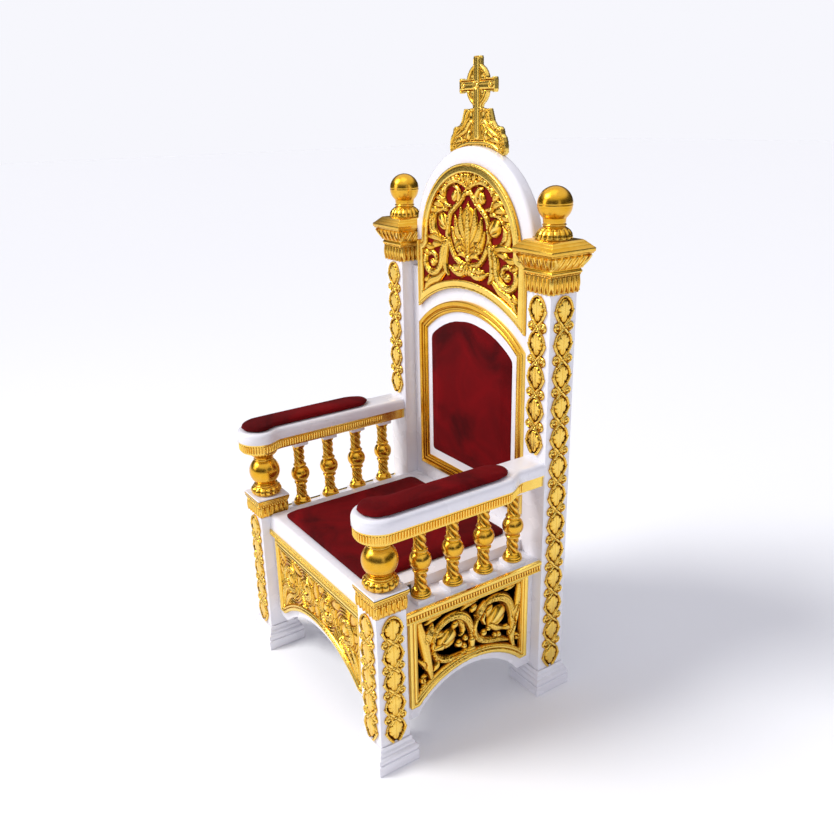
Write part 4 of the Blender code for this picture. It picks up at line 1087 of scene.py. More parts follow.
for side, mark in SIDES:
    x = side * POST_X
    # Front capital: fillets over a fringe of leaves, with a white plate on top
    low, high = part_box("capital_front_" + mark)
    half = (high.x - low.x) / 2.0
    tall = high.z - low.z
    shares = ((0.0055, 0.56), (0.0070, 0.58), (0.0070, 0.64), (0.0040, 0.655), (0.0030, 0.70),
              (0.0045, 0.715), (0.0018, 0.735), (0.0005, 0.79), (0.0022, 0.805), (0.0002, 0.83),
              (0.0, 0.90), (0.0010, 0.93))
    profile = eased([(half - 0.0075, low.z + 0.002), (half - 0.0055, low.z + 0.004)]
                    + [(half - inset, low.z + rise * tall) for inset, rise in shares], 0.0005)
    fringe = along(square_sides(x, FRONT_MID, half - 0.0056, low.z + 0.54 * tall, 0.0080),
                   tongue(0.0152, 0.50 * tall, 0.0052), 0.0142)
    # Sunk grounds behind the leaves and the dentils are painted dark as painted shade
    shade_ground_ring("gilt_fringe_ground_" + mark, x, FRONT_MID, half - 0.0052, low.z + 0.22 * tall,
              low.z + 0.545 * tall, "capital_front_" + mark)
    dots = along(square_sides(x, FRONT_MID, half - 0.0068, low.z + 0.650 * tall, 0.0040),
                 reed(0.0048, 0.085 * tall, 0.0042), 0.0078)
    shade_ground_ring("gilt_dentil_ground_" + mark, x, FRONT_MID, half - 0.0068, low.z + 0.575 * tall,
              low.z + 0.655 * tall, "capital_front_" + mark)
    mesh = join_meshes("gilt_front_capital_" + mark, [moulding(x, FRONT_MID, profile), fringe, dots])
    settle("gilt_front_capital_" + mark, mesh, GOLD, ["capital_front_" + mark], sharp=45.0)
    plate = [(half - 0.0012, high.z - 0.0044), (half - 0.0012, high.z - 0.0012), (half - 0.0024, high.z)]
    square_moulding("white_cap_plate_" + mark, x, FRONT_MID, plate, 0.0012, WHITE,
                    ["capital_front_" + mark])
    # Rear capital: leaf fringe, bead, leafy ovolo, abacus and a low pyramid roof
    low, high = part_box("capital_rear_" + mark)
    tall = high.z - low.z
    out = (high.x - low.x) / 2.0 - HALF
    shares = ((0.10, 0.012), (0.13, 0.02), (0.13, 0.33), (0.09, 0.35), (0.20, 0.365), (0.26, 0.38),
              (0.27, 0.41), (0.22, 0.43), (0.17, 0.45), (0.20, 0.47), (0.30, 0.50), (0.44, 0.545),
              (0.58, 0.60), (0.70, 0.665), (0.76, 0.72), (0.78, 0.735), (0.88, 0.742), (0.90, 0.765),
              (0.97, 0.775), (1.0, 0.79), (1.0, 0.845), (0.97, 0.855), (0.94, 0.86), (0.70, 0.905),
              (0.69, 0.912), (0.46, 0.955), (0.45, 0.962), (0.24, 1.0))
    profile = eased([(HALF + out * a, low.z + tall * b) for a, b in shares], 0.0006)
    fringe = along(square_sides(x, REAR_MID, HALF + 0.14 * out, low.z + 0.325 * tall, 0.0086),
                   tongue(0.0172, 0.325 * tall, 0.0060), 0.0156)
    swirl = tongue(0.0190, 0.28 * tall, 0.0080, lean=-0.45)
    swirl.transform(Matrix.Rotation(math.radians(34.0), 4, 'X'))
    hang = low.z + 0.715 * tall
    leaves = along(square_sides(x, REAR_MID, HALF + 0.80 * out, hang, 0.80 * out), swirl, 0.0186)
    corner = tongue(0.0260, 0.31 * tall, 0.0060)
    corner.transform(Matrix.Rotation(math.radians(40.0), 4, 'X'))
    corners = corner_leaves(x, REAR_MID, HALF + 0.74 * out, hang, corner)
    # Sunk ground behind the leaf fringe, painted dark as painted shade
    shade_ground_ring("gilt_frieze_ground_" + mark, x, REAR_MID, HALF + 0.145 * out, low.z + 0.03 * tall,
              low.z + 0.33 * tall, "capital_rear_" + mark)
    beads = along(square_sides(x, REAR_MID, HALF + 0.20 * out, low.z + 0.352 * tall, 0.0040),
                  bead(0.0019), 0.0052)
    parts = [moulding(x, REAR_MID, profile), fringe, leaves, corners, beads]
    mesh = join_meshes("gilt_rear_capital_" + mark, parts)
    settle("gilt_rear_capital_" + mark, mesh, GOLD, ["capital_rear_" + mark], sharp=45.0)
    # Reeded band under the arm
    band_path = set_in(ARM, 0.0062)
    path = [(side * px, py, TRIM_TOP - 0.0045) for px, py in band_path[1:-1]]
    if side > 0:
        path = path[::-1]
    reeds = along([path], reed(0.0052, TRIM_TOP - TRIM_LOW - 0.0080, 0.0038), 0.0084)
    body = arm_layer("band", side, 0.0072, TRIM_LOW)
    lip = arm_layer("lip", side, 0.0027, TRIM_TOP - 0.0042)
    mesh = join_meshes("gilt_arm_band_" + mark, [body, lip, reeds])
    settle("gilt_arm_band_" + mark, mesh, GOLD, ["arm_trim_" + mark], sharp=45.0)


# Straight mouldings on the seat box
def sized(shares, deep, tall):
    """Profile given as shares of a depth and a height."""
    return [(out * deep, up * tall) for out, up in shares]


def straight(profile, ends, to_world):
    """Straight length of a profile between two ends."""
    rings = [[to_world(place, u, v) for u, v in profile] for place in ends]
    return raw_mesh("straight", *skin(rings))


low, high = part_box("front_trim")
deep = high.y - low.y
tall = high.z - low.z
shares = ((0.0, 0.0), (0.70, 0.0), (0.86, 0.10), (0.86, 0.22), (0.52, 0.28), (0.40, 0.30), (0.40, 0.72),
          (0.80, 0.75), (0.86, 0.82), (0.86, 1.0), (0.0, 1.0))


def on_front(x, out, up):
    """Place on the front trim."""
    return (x, high.y - out, low.z + up)


body = straight(eased(sized(shares, deep, tall), 0.0004), (low.x, high.x), on_front)
row = [on_front(x, 0.46 * deep, 0.67 * tall) for x in (low.x + 0.003, high.x - 0.003)]
beads = along([row], reed(0.0052, 0.38 * tall, 0.50 * deep), 0.0084)
# Strip in the channel behind the beads, painted dark as painted shade
strip_ring = sized(((0.30, 0.30), (0.43, 0.30), (0.43, 0.66), (0.30, 0.66)), deep, tall)
shade_ground_strip("gilt_front_trim_ground", straight(strip_ring, (low.x + 0.002, high.x - 0.002), on_front),
     "front_trim")
settle("gilt_front_trim", join_meshes("gilt_front_trim", [body, beads]), GOLD, ["front_trim"],
       sharp=45.0)

for side, mark in SIDES:
    low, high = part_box("side_trim_" + mark)
    inner = low.x if side > 0 else high.x
    deep = high.x - low.x
    tall = high.z - low.z
    shares = ((0.0, 0.0), (0.60, 0.0), (0.80, 0.06), (0.80, 0.13), (0.36, 0.17), (0.36, 0.64),
              (0.86, 0.68), (1.0, 0.72), (1.0, 0.96), (0.92, 1.0), (0.0, 1.0))

    def on_side(y, out, up):
        return (inner + side * out, y, low.z + up)

    body = straight(eased(sized(shares, deep, tall), 0.0005), (low.y, high.y), on_side)
    path = [(inner + side * 0.40 * deep, y, low.z + 0.65 * tall) for y in (low.y + 0.003, high.y - 0.003)]
    dentils = along([path if side > 0 else path[::-1]], reed(0.0056, 0.46 * tall, 0.42 * deep), 0.0090)
    # Strip in the channel behind the dentils, painted dark as painted shade
    ground = sized(((0.25, 0.17), (0.40, 0.17), (0.40, 0.64), (0.25, 0.64)), deep, tall)
    shade_ground_strip("gilt_side_trim_ground_" + mark, straight(ground, (low.y + 0.002, high.y - 0.002), on_side),
         "side_trim_" + mark)
    settle("gilt_side_trim_" + mark, join_meshes("gilt_side_trim_" + mark, [body, dentils]), GOLD,
           ["side_trim_" + mark], sharp=45.0)

# Moulded frame round the back pad
FRAME_SHAPE = eased([(0.0, 0.0), (0.0, 0.62), (0.03, 0.90), (0.08, 1.0), (0.34, 1.0), (0.40, 0.94),
                     (0.44, 0.58), (0.50, 0.52), (0.54, 0.70), (0.60, 0.84), (0.67, 0.84), (0.72, 0.68),
                     (0.74, 0.50), (0.80, 0.56), (0.90, 0.48), (0.97, 0.30), (1.0, 0.0)], 0.02)
rings = []
for share, rise in FRAME_SHAPE:
    d = FRAME_WIDE * share
    outline = arched_panel(FRAME_HALF - d, FRAME_Z + d, FRAME_R - d, FRAME_C, 56)
    rings.append(upright_ring(outline, BACK_Y - GAP - FRAME_DEEP * rise))
loft("gilt_back_frame", rings, GOLD, ["back_frame"], closed=True, sharp=28.0)


# Carved panels
def panel_piece(name, carving, inside, place, deep, finish, node):
    """Carved panel as a piece."""
    return settle(name, carved_mesh(name, carving, inside, place, deep), finish, [node],
                  sharp=75.0)


def in_mm(points, mid_u=0.0, mid_v=0.0):
    """Points in metres as millimetres from a middle."""
    return [((u - mid_u) * 1000.0, (v - mid_v) * 1000.0) for u, v in points]


def tympanum_outline():
    """Round arch on two ears, with a hollow lower edge that follows the backrest frame."""
    ear, radius, low_r = HEAD_R - 0.0210, HEAD_R - 0.0450, FRAME_R + 0.0380
    spread = math.degrees(math.asin(ear / low_r))
    lower = arc(0.0, FRAME_C, low_r, 90.0 + spread, 90.0 - spread, 48)
    ears = [(ear, HEAD_Z - 0.0058), (radius, HEAD_Z - 0.0058)]
    return lower + ears + arc(0.0, HEAD_Z, radius, 0.0, 180.0, 72) + flip(ears)


def carve_tympanum(c):
    """Palmette inside an onion-shaped vine, round leaves beside it, curls above, volutes in the ears."""
    # Palmette: a full leaf with scalloped lobes
    c.stroke([(0, -34), (0, 0), (0, 40), (0, 78), (0, 112)], [8.0, 24.0, 34.0, 26.0, 6.0], [0.60], "flat")
    for base, tip, width, top, bend in (((14, -16), (72, 14), 10.0, 0.80, -0.14),
                                        ((12, -10), (78, 50), 12.0, 0.84, -0.16),
                                        ((10, 0), (62, 84), 12.5, 0.90, -0.14),
                                        ((7, 8), (34, 108), 11.0, 0.94, -0.10),
                                        ((0, -34), (0, 124), 9.5, 1.0, 0.0)):
        c.frond(base, tip, width, top, bend)
    c.volute(40, -8, 17, 110, -300, 6.0, 0.95)
    c.frond((6, -36), (52, -34), 7.0, 0.85, 0.22)
    c.boss(0, -36, 12, 1.0)
    # Vine round it, crossing at the top
    c.stem([(0, -56), (26, -54), (52, -46), (72, -26), (88, 0), (97, 24), (94, 56), (84, 86), (58, 108),
            (34, 126), (14, 148), (-6, 170)], [6.0, 7.5, 7.5, 8.0, 8.0, 7.0, 7.0, 7.0, 6.5, 5.5],
           [0.8, 0.95, 0.95, 0.95, 0.9], "flute")
    c.boss(0, 150, 10, 0.95)
    # Round leaf on its side, held by a ring
    c.egg(121, 60, 29.0, 25.0, 40.0, 1.0, 0.35)
    c.stem([(104, 96), (134, 98), (158, 86), (170, 60), (164, 30), (142, 10), (112, 6)],
           [6.0, 9.0, 10.0, 10.0, 9.0, 7.0], [0.8, 0.95, 1.0, 0.9], "flute")
    # Curls under the arch
    c.stem([(2, 162), (26, 178), (58, 184), (90, 176), (112, 156), (118, 132), (106, 112), (84, 108)],
           [6.0, 9.0, 10.0, 10.0, 9.0, 8.0, 6.0, 4.0], [0.8, 0.95, 1.0, 0.95, 0.85], "flute")
    c.egg(62, 138, 19.0, 15.0, 120.0, 0.98, 0.3)
    c.stem([(44, 128), (40, 146), (52, 162), (68, 164)], [6.0, 7.0, 5.0, 2.0], [0.8, 0.9, 0.8], "round")
    for base, tip in (((6, 170), (14, 202)), ((24, 180), (38, 202)), ((46, 186), (66, 196)),
                      ((96, 176), (112, 176))):
        c.frond(base, tip, 7.5, 0.85, 0.12)
    c.frond((0, 176), (0, 204), 7.0, 0.9)
    # Leaves on the shoulder
    for base, tip in (((112, 116), (156, 128)), ((122, 104), (168, 106)), ((150, 92), (184, 84)),
                      ((160, 76), (192, 58)), ((112, 136), (138, 148))):
        c.frond(base, tip, 9.0, 0.86, 0.12)
    c.stem([(110, 2), (146, 8), (176, 22), (186, 50), (180, 74)], [6.0, 8.5, 8.0, 5.0, 2.0],
           [0.8, 0.9, 0.85], "leaf")
    c.frond((120, 4), (206, 8), 9.0, 0.9, 0.05)
    # Leaves down the lower edge
    c.stem([(98, 8), (108, -20), (114, -52), (108, -80), (96, -94)], [7.0, 10.0, 11.0, 9.0, 4.0],
           [0.9, 1.0, 1.0, 0.8], "flute")
    c.stem([(8, -60), (22, -78), (44, -84), (70, -78), (90, -70)], [7.0, 10.0, 10.0, 8.0, 4.0],
           [0.85, 0.95, 0.8], "flute")
    c.frond((26, -60), (74, -62), 8.0, 0.9, -0.15)
    c.frond((4, -62), (8, -88), 6.0, 0.85)
    c.boss(30, -68, 10, 0.95)
    # Volute in the ear
    c.stem([(118, -6), (128, -30), (130, -56), (142, -82), (166, -98), (196, -96), (214, -76), (212, -50),
            (190, -38), (164, -42), (156, -60), (166, -72)],
           [7.0, 10.0, 10.0, 10.0, 9.0, 9.0, 8.0, 7.0, 6.0, 5.0], [0.9, 1.0, 1.0, 0.95, 0.9], "flute")
    c.egg(176, -68, 16.0, 13.0, 20.0, 0.95, 0.3)
    c.frond((132, -8), (190, -28), 9.0, 0.85, 0.12)
    c.frond((168, -20), (224, -14), 9.0, 0.8, -0.08)
    c.frond((196, -44), (226, -34), 7.0, 0.8)
    c.stem([(118, -92), (146, -112), (180, -124), (206, -140), (222, -166)], [6.0, 9.0, 10.0, 9.0, 3.0],
           [0.8, 0.9, 0.8], "leaf")
    c.frond((200, -112), (226, -130), 7.5, 0.85, -0.15)


low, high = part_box("tympanum_carving")
outline = in_mm(tympanum_outline(), 0.0, HEAD_Z)
carving = Carving((-256.0, -218.0), (256.0, 234.0), 2.35, full=1.38)
carve_tympanum(carving)
edge = edge_distance(carving.u, carving.v, outline)
carving.border(edge, [0.0, 1.2, 3.2, 5.0, 6.2, 7.6, 9.0, 23.0, 24.5, 27.0],
               [0.55, 0.80, 0.95, 0.84, 0.62, 0.78, 0.86, 0.98, 0.90, 0.02])
ground = high.y
inside = np.minimum(edge, (carving.height - 0.10) * 12.0)
panel_piece("gilt_tympanum", carving, inside, lambda u, v, w: (u, ground - w, v + HEAD_Z), high.y - low.y,
            GOLD, "tympanum_carving")


def carve_side(c):
    """Two leaf scrolls that roll the same way over the arch, and long leaves down the feet."""
    # Long leaves at the two ends
    c.stem([(-172, 92), (-164, 54), (-154, 12), (-147, -30), (-140, -68), (-134, -106)],
           [8.0, 13.0, 14.0, 13.0, 10.0, 4.0], [0.85, 0.95, 1.0, 0.9], "leaf")
    c.stem([(178, 92), (174, 44), (168, 2), (158, -40), (152, -80), (164, -130)],
           [7.0, 10.0, 11.0, 11.0, 9.0, 3.0], [0.85, 0.95, 1.0, 0.9], "leaf")
    c.frond((-178, -20), (-152, -66), 7.0, 0.85, 0.1)
    c.volute(-160, -92, 13, 60, 300, 4.5, 0.9)
    c.frond((-172, -118), (-142, -116), 7.0, 0.85, 0.2)
    c.volute(170, -88, 12, 120, -300, 4.0, 0.9)
    # Front scroll
    c.stem([(-128, -20), (-127, 20), (-112, 52), (-80, 70), (-45, 70), (-16, 50), (0, 20), (7, -14),
            (5, -42)], [5.0, 8.0, 9.0, 11.0, 12.0, 12.0, 10.0, 8.0, 5.0], [0.8, 0.95, 1.0, 1.0, 0.85],
           "flute")
    c.stem([(-126, -16), (-114, -42), (-86, -58), (-50, -62), (-14, -56)], [5.0, 9.0, 10.0, 9.0, 5.0],
           [0.8, 0.95, 0.9], "flute")
    c.stem([(-42, 54), (-30, 36), (-26, 14), (-36, 2)], [4.0, 8.0, 7.0, 3.0], [0.8, 0.9, 0.8], "flute")
    c.egg(-80, 7, 34.0, 29.0, 30.0, 1.0, 0.35)
    c.stroke([(-122, -8), (-100, -10)], [6.0, 11.0], [0.8, 0.9], "round")
    c.frond((-116, 26), (-92, 34), 7.0, 0.9, 0.1)
    # Rear scroll
    c.stem([(36, 58), (72, 74), (108, 70), (136, 48), (150, 12), (153, -30), (142, -66)],
           [6.0, 10.0, 13.0, 13.0, 12.0, 10.0, 5.0], [0.8, 1.0, 1.0, 0.9], "flute")
    c.stem([(34, 44), (18, 16), (16, -14), (36, -42), (70, -58), (106, -68), (136, -82)],
           [5.0, 8.0, 9.0, 10.0, 9.0, 8.0, 4.0], [0.8, 0.95, 1.0, 0.85], "flute")
    c.egg(94, 13, 38.0, 31.0, 40.0, 1.0, 0.35)
    c.stem([(70, -6), (92, -24), (118, -34)], [8.0, 10.0, 4.0], [0.85, 0.95, 0.8], "leaf")
    c.stem([(50, 40), (44, 22), (50, 6)], [3.0, 5.0, 3.0], [0.8, 0.9], "round")
    for cu, cv, radius in ((-40, -24, 12), (-18, -14, 9), (-22, -38, 9), (48, -24, 11), (64, -16, 8),
                           (102, -50, 9), (88, -46, 7)):
        c.boss(cu, cv, radius, 0.95)
    c.stroke([(6, -30), (6, -50)], [10.0, 8.0], [1.0, 0.9], "round")
    # Small leaves in the corners
    for base, tip in (((-150, 82), (-100, 94)), ((-30, 82), (26, 94)), ((4, 62), (22, 78)),
                      ((128, 86), (160, 94)), ((-10, -58), (22, -68)), ((-112, -48), (-128, -76)),
                      ((158, -20), (176, 30)), ((-134, 44), (-128, 78)), ((60, 26), (78, 56)),
                      ((-58, 34), (-44, 50)), ((116, -36), (146, -48))):
        c.frond(base, tip, 9.0, 0.9, 0.12)
    # Fluted fans behind the scrolls
    for cu, start in ((-84.0, 168.0), (82.0, 156.0)):
        for k in range(4):
            c.stroke(spiral(cu, 2.0, 60.0 + 6.5 * k, 66.0 + 6.0 * k, start - 3.0 * k, -44.0 + 3.0 * k,
                            14), [1.4, 3.2, 2.0], [0.8, 0.9, 0.7], "round")


def carve_front(c):
    """Leaf scrolls in each half and a leaf down each foot, with hardly any ground between them."""
    # Fluted bands run round each scroll and fill the ground
    round_outer = np.hypot(c.across - 172.0, c.v + 14.0)
    round_inner = np.hypot(c.across - 64.0, c.v - 2.0)
    c.height = 0.46 + 0.20 * np.cos(TAU * np.minimum(round_outer, 1.15 * round_inner) / 10.5)
    # Leaves that fill the ground between the scrolls
    for base, tip, width, bend in (((118, -40), (120, 40), 15.0, 0.16), ((96, 34), (146, 58), 13.0, -0.1),
                                   ((206, 26), (244, 60), 14.0, 0.1), ((212, -30), (246, 4), 13.0, 0.1),
                                   ((120, -48), (160, -82), 14.0, 0.1), ((20, 34), (52, 58), 12.0, 0.1),
                                   ((22, -40), (60, -60), 12.0, -0.1), ((0, -8), (0, 60), 14.0, 0.0),
                                   ((0, -14), (0, -62), 13.0, 0.0)):
        c.frond(base, tip, width, 0.84, bend)
    for cu, cv, size, start, turn in ((172.0, -14.0, 44.0, 200.0, 330.0), (64.0, 2.0, 37.0, 20.0, -330.0)):
        c.stroke(spiral(cu, cv, 1.22 * size, 1.12 * size, start - 30.0, 0.6 * turn, 36),
                 [3.0, 8.0, 9.0, 6.0, 3.0], [0.8, 0.9, 0.8], "flute")
        c.stroke(spiral(cu, cv, 0.92 * size, 0.70 * size, start, turn, 36),
                 [6.0, 11.0, 12.0, 11.0, 8.0, 4.0], [0.8, 0.95, 1.0, 0.9, 0.8], "flute")
        c.egg(cu - 2.0, cv + 2.0, 0.52 * size, 0.42 * size, 60.0, 1.0, 0.25)
        c.boss(cu + 0.52 * size, cv - 0.34 * size, 0.17 * size, 0.95)
    c.stem([(196, -56), (218, -70), (230, -100), (236, -140)], [8.0, 13.0, 12.0, 4.0], [0.85, 1.0, 0.85],
           "flute")
    c.stem([(150, -68), (184, -82), (208, -106), (224, -144)], [5.0, 9.0, 9.0, 3.0], [0.8, 0.9, 0.8],
           "leaf")
    c.boss(0, -10, 11, 1.0)


SIDE_RIM, SIDE_HEART = 0.030, 0.094     # the drawing's zero lies this far below the rim
SIDE_LEG, SIDE_RISE = 0.027, 0.181 + 0.025 - 0.128
for side, mark in SIDES:
    low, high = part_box("side_carving_" + mark)
    half = (high.y - low.y) / 2.0
    centre = high.z - SIDE_RIM - SIDE_HEART
    outline = arched_foot(half, low.z, half - SIDE_LEG, low.z + SIDE_RISE, high.z)
    outline = in_mm(outline, 0.0, centre)
    carving = Carving((-210.0, -172.0), (210.0, 126.0), 2.15, mirrored=False, full=1.12)
    carve_side(carving)
    edge = edge_distance(carving.u, carving.v, outline)
    carving.border(edge, [0.0, 1.0, 2.5, 11.0, 12.5, 14.0, 16.0, 20.0, 22.0, 23.5, 25.5, 27.5],
                   [0.60, 0.88, 0.96, 0.92, 0.55, 0.58, 0.90, 0.94, 0.60, 0.72, 0.74, 0.02])
    # The low ground of the side carvings is painted near black by GOLD_DARK's recess shade
    base = low.x if side > 0 else high.x
    panel_piece("gilt_side_carving_" + mark, carving, edge,
                lambda u, v, w: (base + side * w, u + BAY_MID, v + centre),
                high.x - low.x, GOLD_DARK, "side_carving_" + mark)

low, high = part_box("front_carving")
half = (high.x - low.x) / 2.0
FRONT_RIM, FRONT_HEART, FRONT_RISE = 0.024, 0.061, 0.0893
centre = high.z - FRONT_RIM - FRONT_HEART
outline = arched_foot(half, low.z, half - 1.33 * FRONT_RIM, low.z + FRONT_RISE, high.z)
outline = in_mm(outline, 0.0, centre)
carving = Carving((-268.0, -176.0), (268.0, 88.0), 2.0, full=1.25)
carve_front(carving)
edge = edge_distance(carving.u, carving.v, outline)
carving.border(edge, [0.0, 1.0, 2.5, 9.0, 10.5, 12.0, 14.0, 17.0, 19.0, 22.0],
               [0.60, 0.88, 0.96, 0.92, 0.55, 0.60, 0.88, 0.90, 0.60, 0.02])
panel_piece("gilt_front_carving", carving, edge, lambda u, v, w: (u, high.y - w, v + centre),
            high.y - low.y, GOLD, "front_carving")

# Red ground behind the tympanum, a little smaller than the carving
GROUND_SCALE = 0.985
low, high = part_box("tympanum_backing")
rings = []
middle = HEAD_Z + 0.04
for y in (low.y, high.y):
    rings.append([(u * GROUND_SCALE, y, middle + (v - middle) * GROUND_SCALE) for u, v in tympanum_outline()])
loft("red_ground", rings, RED_CLOTH, ["tympanum_backing"], sharp=40.0)


# Crest: cross in front of an upright oval, on a scrolled base
CREST_Z = board_high.z
CREST_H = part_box("crest_cross")[1].z - CREST_Z
CREST_BASE, CREST_BAR, CROSS_RISE, CROSS_X, DISC_X, DISC_H = 0.1240, 0.0155, 0.1570, 0.0780, 0.0470, 0.0530


def crest_outline():
    """Outline of the cross, its oval and its base, which sits on the round head."""
    saddle = HEAD_R + GAP
    span = math.degrees(math.asin(0.92 * CREST_BASE / saddle))
    foot = HEAD_Z + saddle * math.cos(math.radians(span)) - CREST_Z
    base = ((1.005, -0.02), (0.99, 0.043), (0.95, 0.10), (0.89, 0.13), (0.86, 0.19), (0.80, 0.216),
            (0.70, 0.22), (0.62, 0.235), (0.55, 0.28), (0.50, 0.35), (0.45, 0.42), (0.30, 0.415),
            (CREST_BAR / CREST_BASE, 0.43))
    right = [(CREST_BASE, foot + 0.035 * CREST_H)]
    right += [(CREST_BASE * share, rise * CREST_H) for share, rise in base]

    def rim(angles):
        return [(DISC_X * math.cos(math.radians(a)),
                 CROSS_RISE + DISC_H * math.sin(math.radians(a))) for a in angles]

    right += rim((-66.0, -56.0, -46.0, -34.0, -24.0))
    for share, drop in ((0.55, -1.0), (0.86, -1.0), (0.90, -1.15), (0.97, -1.1), (1.0, -0.75),
                        (1.0, 0.75), (0.97, 1.1), (0.90, 1.15), (0.86, 1.0), (0.55, 1.0)):
        right.append((CROSS_X * share, CROSS_RISE + 0.22 * CROSS_X * drop))
    right += rim((24.0, 34.0, 46.0, 56.0, 66.0))
    right += [(0.95 * CREST_BAR, 0.90 * CREST_H), (0.95 * CREST_BAR, 0.97 * CREST_H),
              (0.75 * CREST_BAR, CREST_H)]
    lower = [(u, v - CREST_Z) for u, v in arc(0.0, HEAD_Z, saddle, 90.0 + span, 90.0 - span, 40)]
    return lower + right + flip(right)


def carve_crest(c):
    """Oval rim, cross with two knobs, and curls on the base."""
    c.height[:] = 0.60
    c.stem([(0, 108), (18, 112), (32, 125), (40, 142), (42, 157), (40, 172), (32, 189), (18, 202),
            (0, 206)], [4.5, 4.5], [0.74, 0.74], "round")
    c.stroke([(0, 157), (77, 157)], [12.0, 14.0], [0.90, 0.90], "flat")
    c.stroke([(0, 26), (0, 231)], [12.5, 12.5], [0.98, 0.98], "flat")
    c.boss(0, 157, 9, 1.06)
    c.boss(60, 157, 7, 1.0)
    # Scrolled base
    c.stem([(14, 95), (38, 92), (50, 80), (56, 62), (72, 50), (94, 46), (106, 30), (118, 8)],
           [5.0, 7.0, 8.0, 8.0, 8.0, 8.0, 7.0, 6.0], [0.90, 1.0, 0.95], "flute")
    c.stem([(20, 60), (30, 64), (40, 56), (54, 40), (76, 30), (96, 22)], [5.0, 8.0, 9.0, 8.0, 4.0],
           [0.90, 1.0, 0.88], "flute")
    c.egg(39, 27, 15.0, 11.0, 100.0, 1.0, 0.2)
    c.frond((50, 14), (100, 6), 9.0, 0.95, 0.12)
    c.volute(106, -7, 11, 100, 300, 5.0, 0.95)
    c.stem([(0, 8), (34, 7), (68, 1), (94, -10)], [6.0, 6.0, 6.0, 5.0], [0.88, 0.88], "round")


low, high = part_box("crest_cross")
carving = Carving((-124.0, -36.0), (124.0, 234.0), 1.9)
carve_crest(carving)
edge = edge_distance(carving.u, carving.v, in_mm(crest_outline()))
carving.border(edge, [0.0, 1.0, 2.2, 3.6], [0.66, 0.80, 0.82, 0.60])
for (ou, ov, along_u, along_v) in ((27.5, 78.0, 5.5, 12.0), (22.5, 40.0, 4.0, 14.0),
                                   (62.0, 20.0, 7.0, 3.0), (22.0, 177.0, 6.0, 7.0),
                                   (22.0, 137.0, 6.0, 7.0)):
    hole = np.hypot((carving.across - ou) / along_u, (carving.v - ov) / along_v) - 1.0
    edge = np.minimum(edge, hole * min(along_u, along_v))
crest_y = (low.y + high.y) / 2.0
meshes = []
for sign in (-1.0, 1.0):
    meshes.append(carved_mesh("crest", carving, edge, lambda u, v, w: (u, crest_y + sign * w, v + CREST_Z),
                              (high.y - low.y) / 2.0, 0.8))
settle("gilt_crest", join_meshes("gilt_crest", meshes), GOLD, ["crest_cross"], sharp=75.0)


# Strips of linked medallions on the posts
MEDALLION_UP, MEDALLION_DOWN, MEDALLION_WIDE = 31.0, 36.0, 24.5
MEDALLION_END = 38.0    # middle of the first medallion, from the strip's end
MEDALLION_PITCH = 88.0  # wanted distance between two middles


def medallion_reach(c, at):
    """Distance from a medallion's middle, round above and pointed below: 1 round its dome."""
    up = np.clip((c.v - at) / MEDALLION_UP, 0.0, None)
    down = np.clip((at - c.v) / MEDALLION_DOWN, 0.0, None)
    wide = c.across / MEDALLION_WIDE
    return np.where(c.v > at, wide ** 1.8 + up ** 1.8, wide ** 1.25 + down ** 1.25)


def carve_medallion(c, at):
    """Domed leaf with nicked edges in a smooth raised rim."""
    reach = medallion_reach(c, at)
    around = np.arctan2(c.v - at, 1.3 * c.across)
    nick = np.clip(np.cos(7.0 * around), 0.0, 1.0) ** 6 * np.clip((reach - 0.35) * 2.2, 0.0, 1.0)
    dome = 0.46 + 0.44 * np.sqrt(np.clip(1.0 - (reach / 0.92) ** 2, 0.0, 1.0)) - 0.46 * nick
    dome -= 0.16 * np.exp(-(c.across / 1.6) ** 2)
    rim = 0.92 - 3.0 * (reach - 1.32) ** 2 - 0.30 * np.exp(-((reach - 1.32) / 0.05) ** 2)
    edge = 0.84 + 0.07 * np.cos(7.0 * around + math.pi)
    body = np.where(reach < edge, dome, np.where(reach < 1.16, 0.0, rim))
    c.height = np.where(reach < 1.56, body, c.height)


def carve_link(c, at):
    """Crossed bands with a scrolled leaf on each side."""
    c.stem([(-15, at + 17), (0, at), (15, at - 17)], [4.0, 4.6, 4.0], [0.90, 1.0, 0.90], "round")
    c.stem([(15, at + 17), (0, at), (-15, at - 17)], [4.0, 4.6, 4.0], [0.86, 0.95, 0.86], "round")
    c.boss(0, at, 5.5, 1.0)
    c.boss(22, at + 1, 6.5, 0.98)
    c.stroke(spiral(22.0, at, 10.5, 9.5, 200.0, -290.0, 20), [2.2, 3.2, 3.2, 2.0], [0.8, 0.92, 0.85],
             "round")


def strip(name, node, place, deep):
    """Chain of medallions and links over the length of its node."""
    low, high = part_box(node)
    length = (high.z - low.z) * 1000.0
    chain = length - 2.0 * MEDALLION_END
    count = max(1, round(chain / MEDALLION_PITCH))
    pitch = chain / count
    c = Carving((-35.0, -1.0), (35.0, length + 1.0), 1.8)
    c.height[:] = 0.22
    inside = np.full(c.u.shape, -9.0)
    for i in range(count + 1):
        at = MEDALLION_END + pitch * i
        carve_medallion(c, at)
        inside = np.maximum(inside, (1.54 - medallion_reach(c, at)) * 15.0)
    for i in range(count):
        at = MEDALLION_END + pitch * (i + 0.5)
        carve_link(c, at)
        inside = np.maximum(inside, 15.5 - np.hypot(c.across - 18.5, c.v - at))
        inside = np.maximum(inside, 15.0 - np.hypot(c.across, 0.9 * (c.v - at)))
    inside = np.minimum(inside, np.minimum(c.v, length - c.v))
    mesh = carved_mesh(name, c, inside, lambda u, v, w: place(u, v + low.z, w), deep)
    settle(name, mesh, GOLD, [node], sharp=75.0)


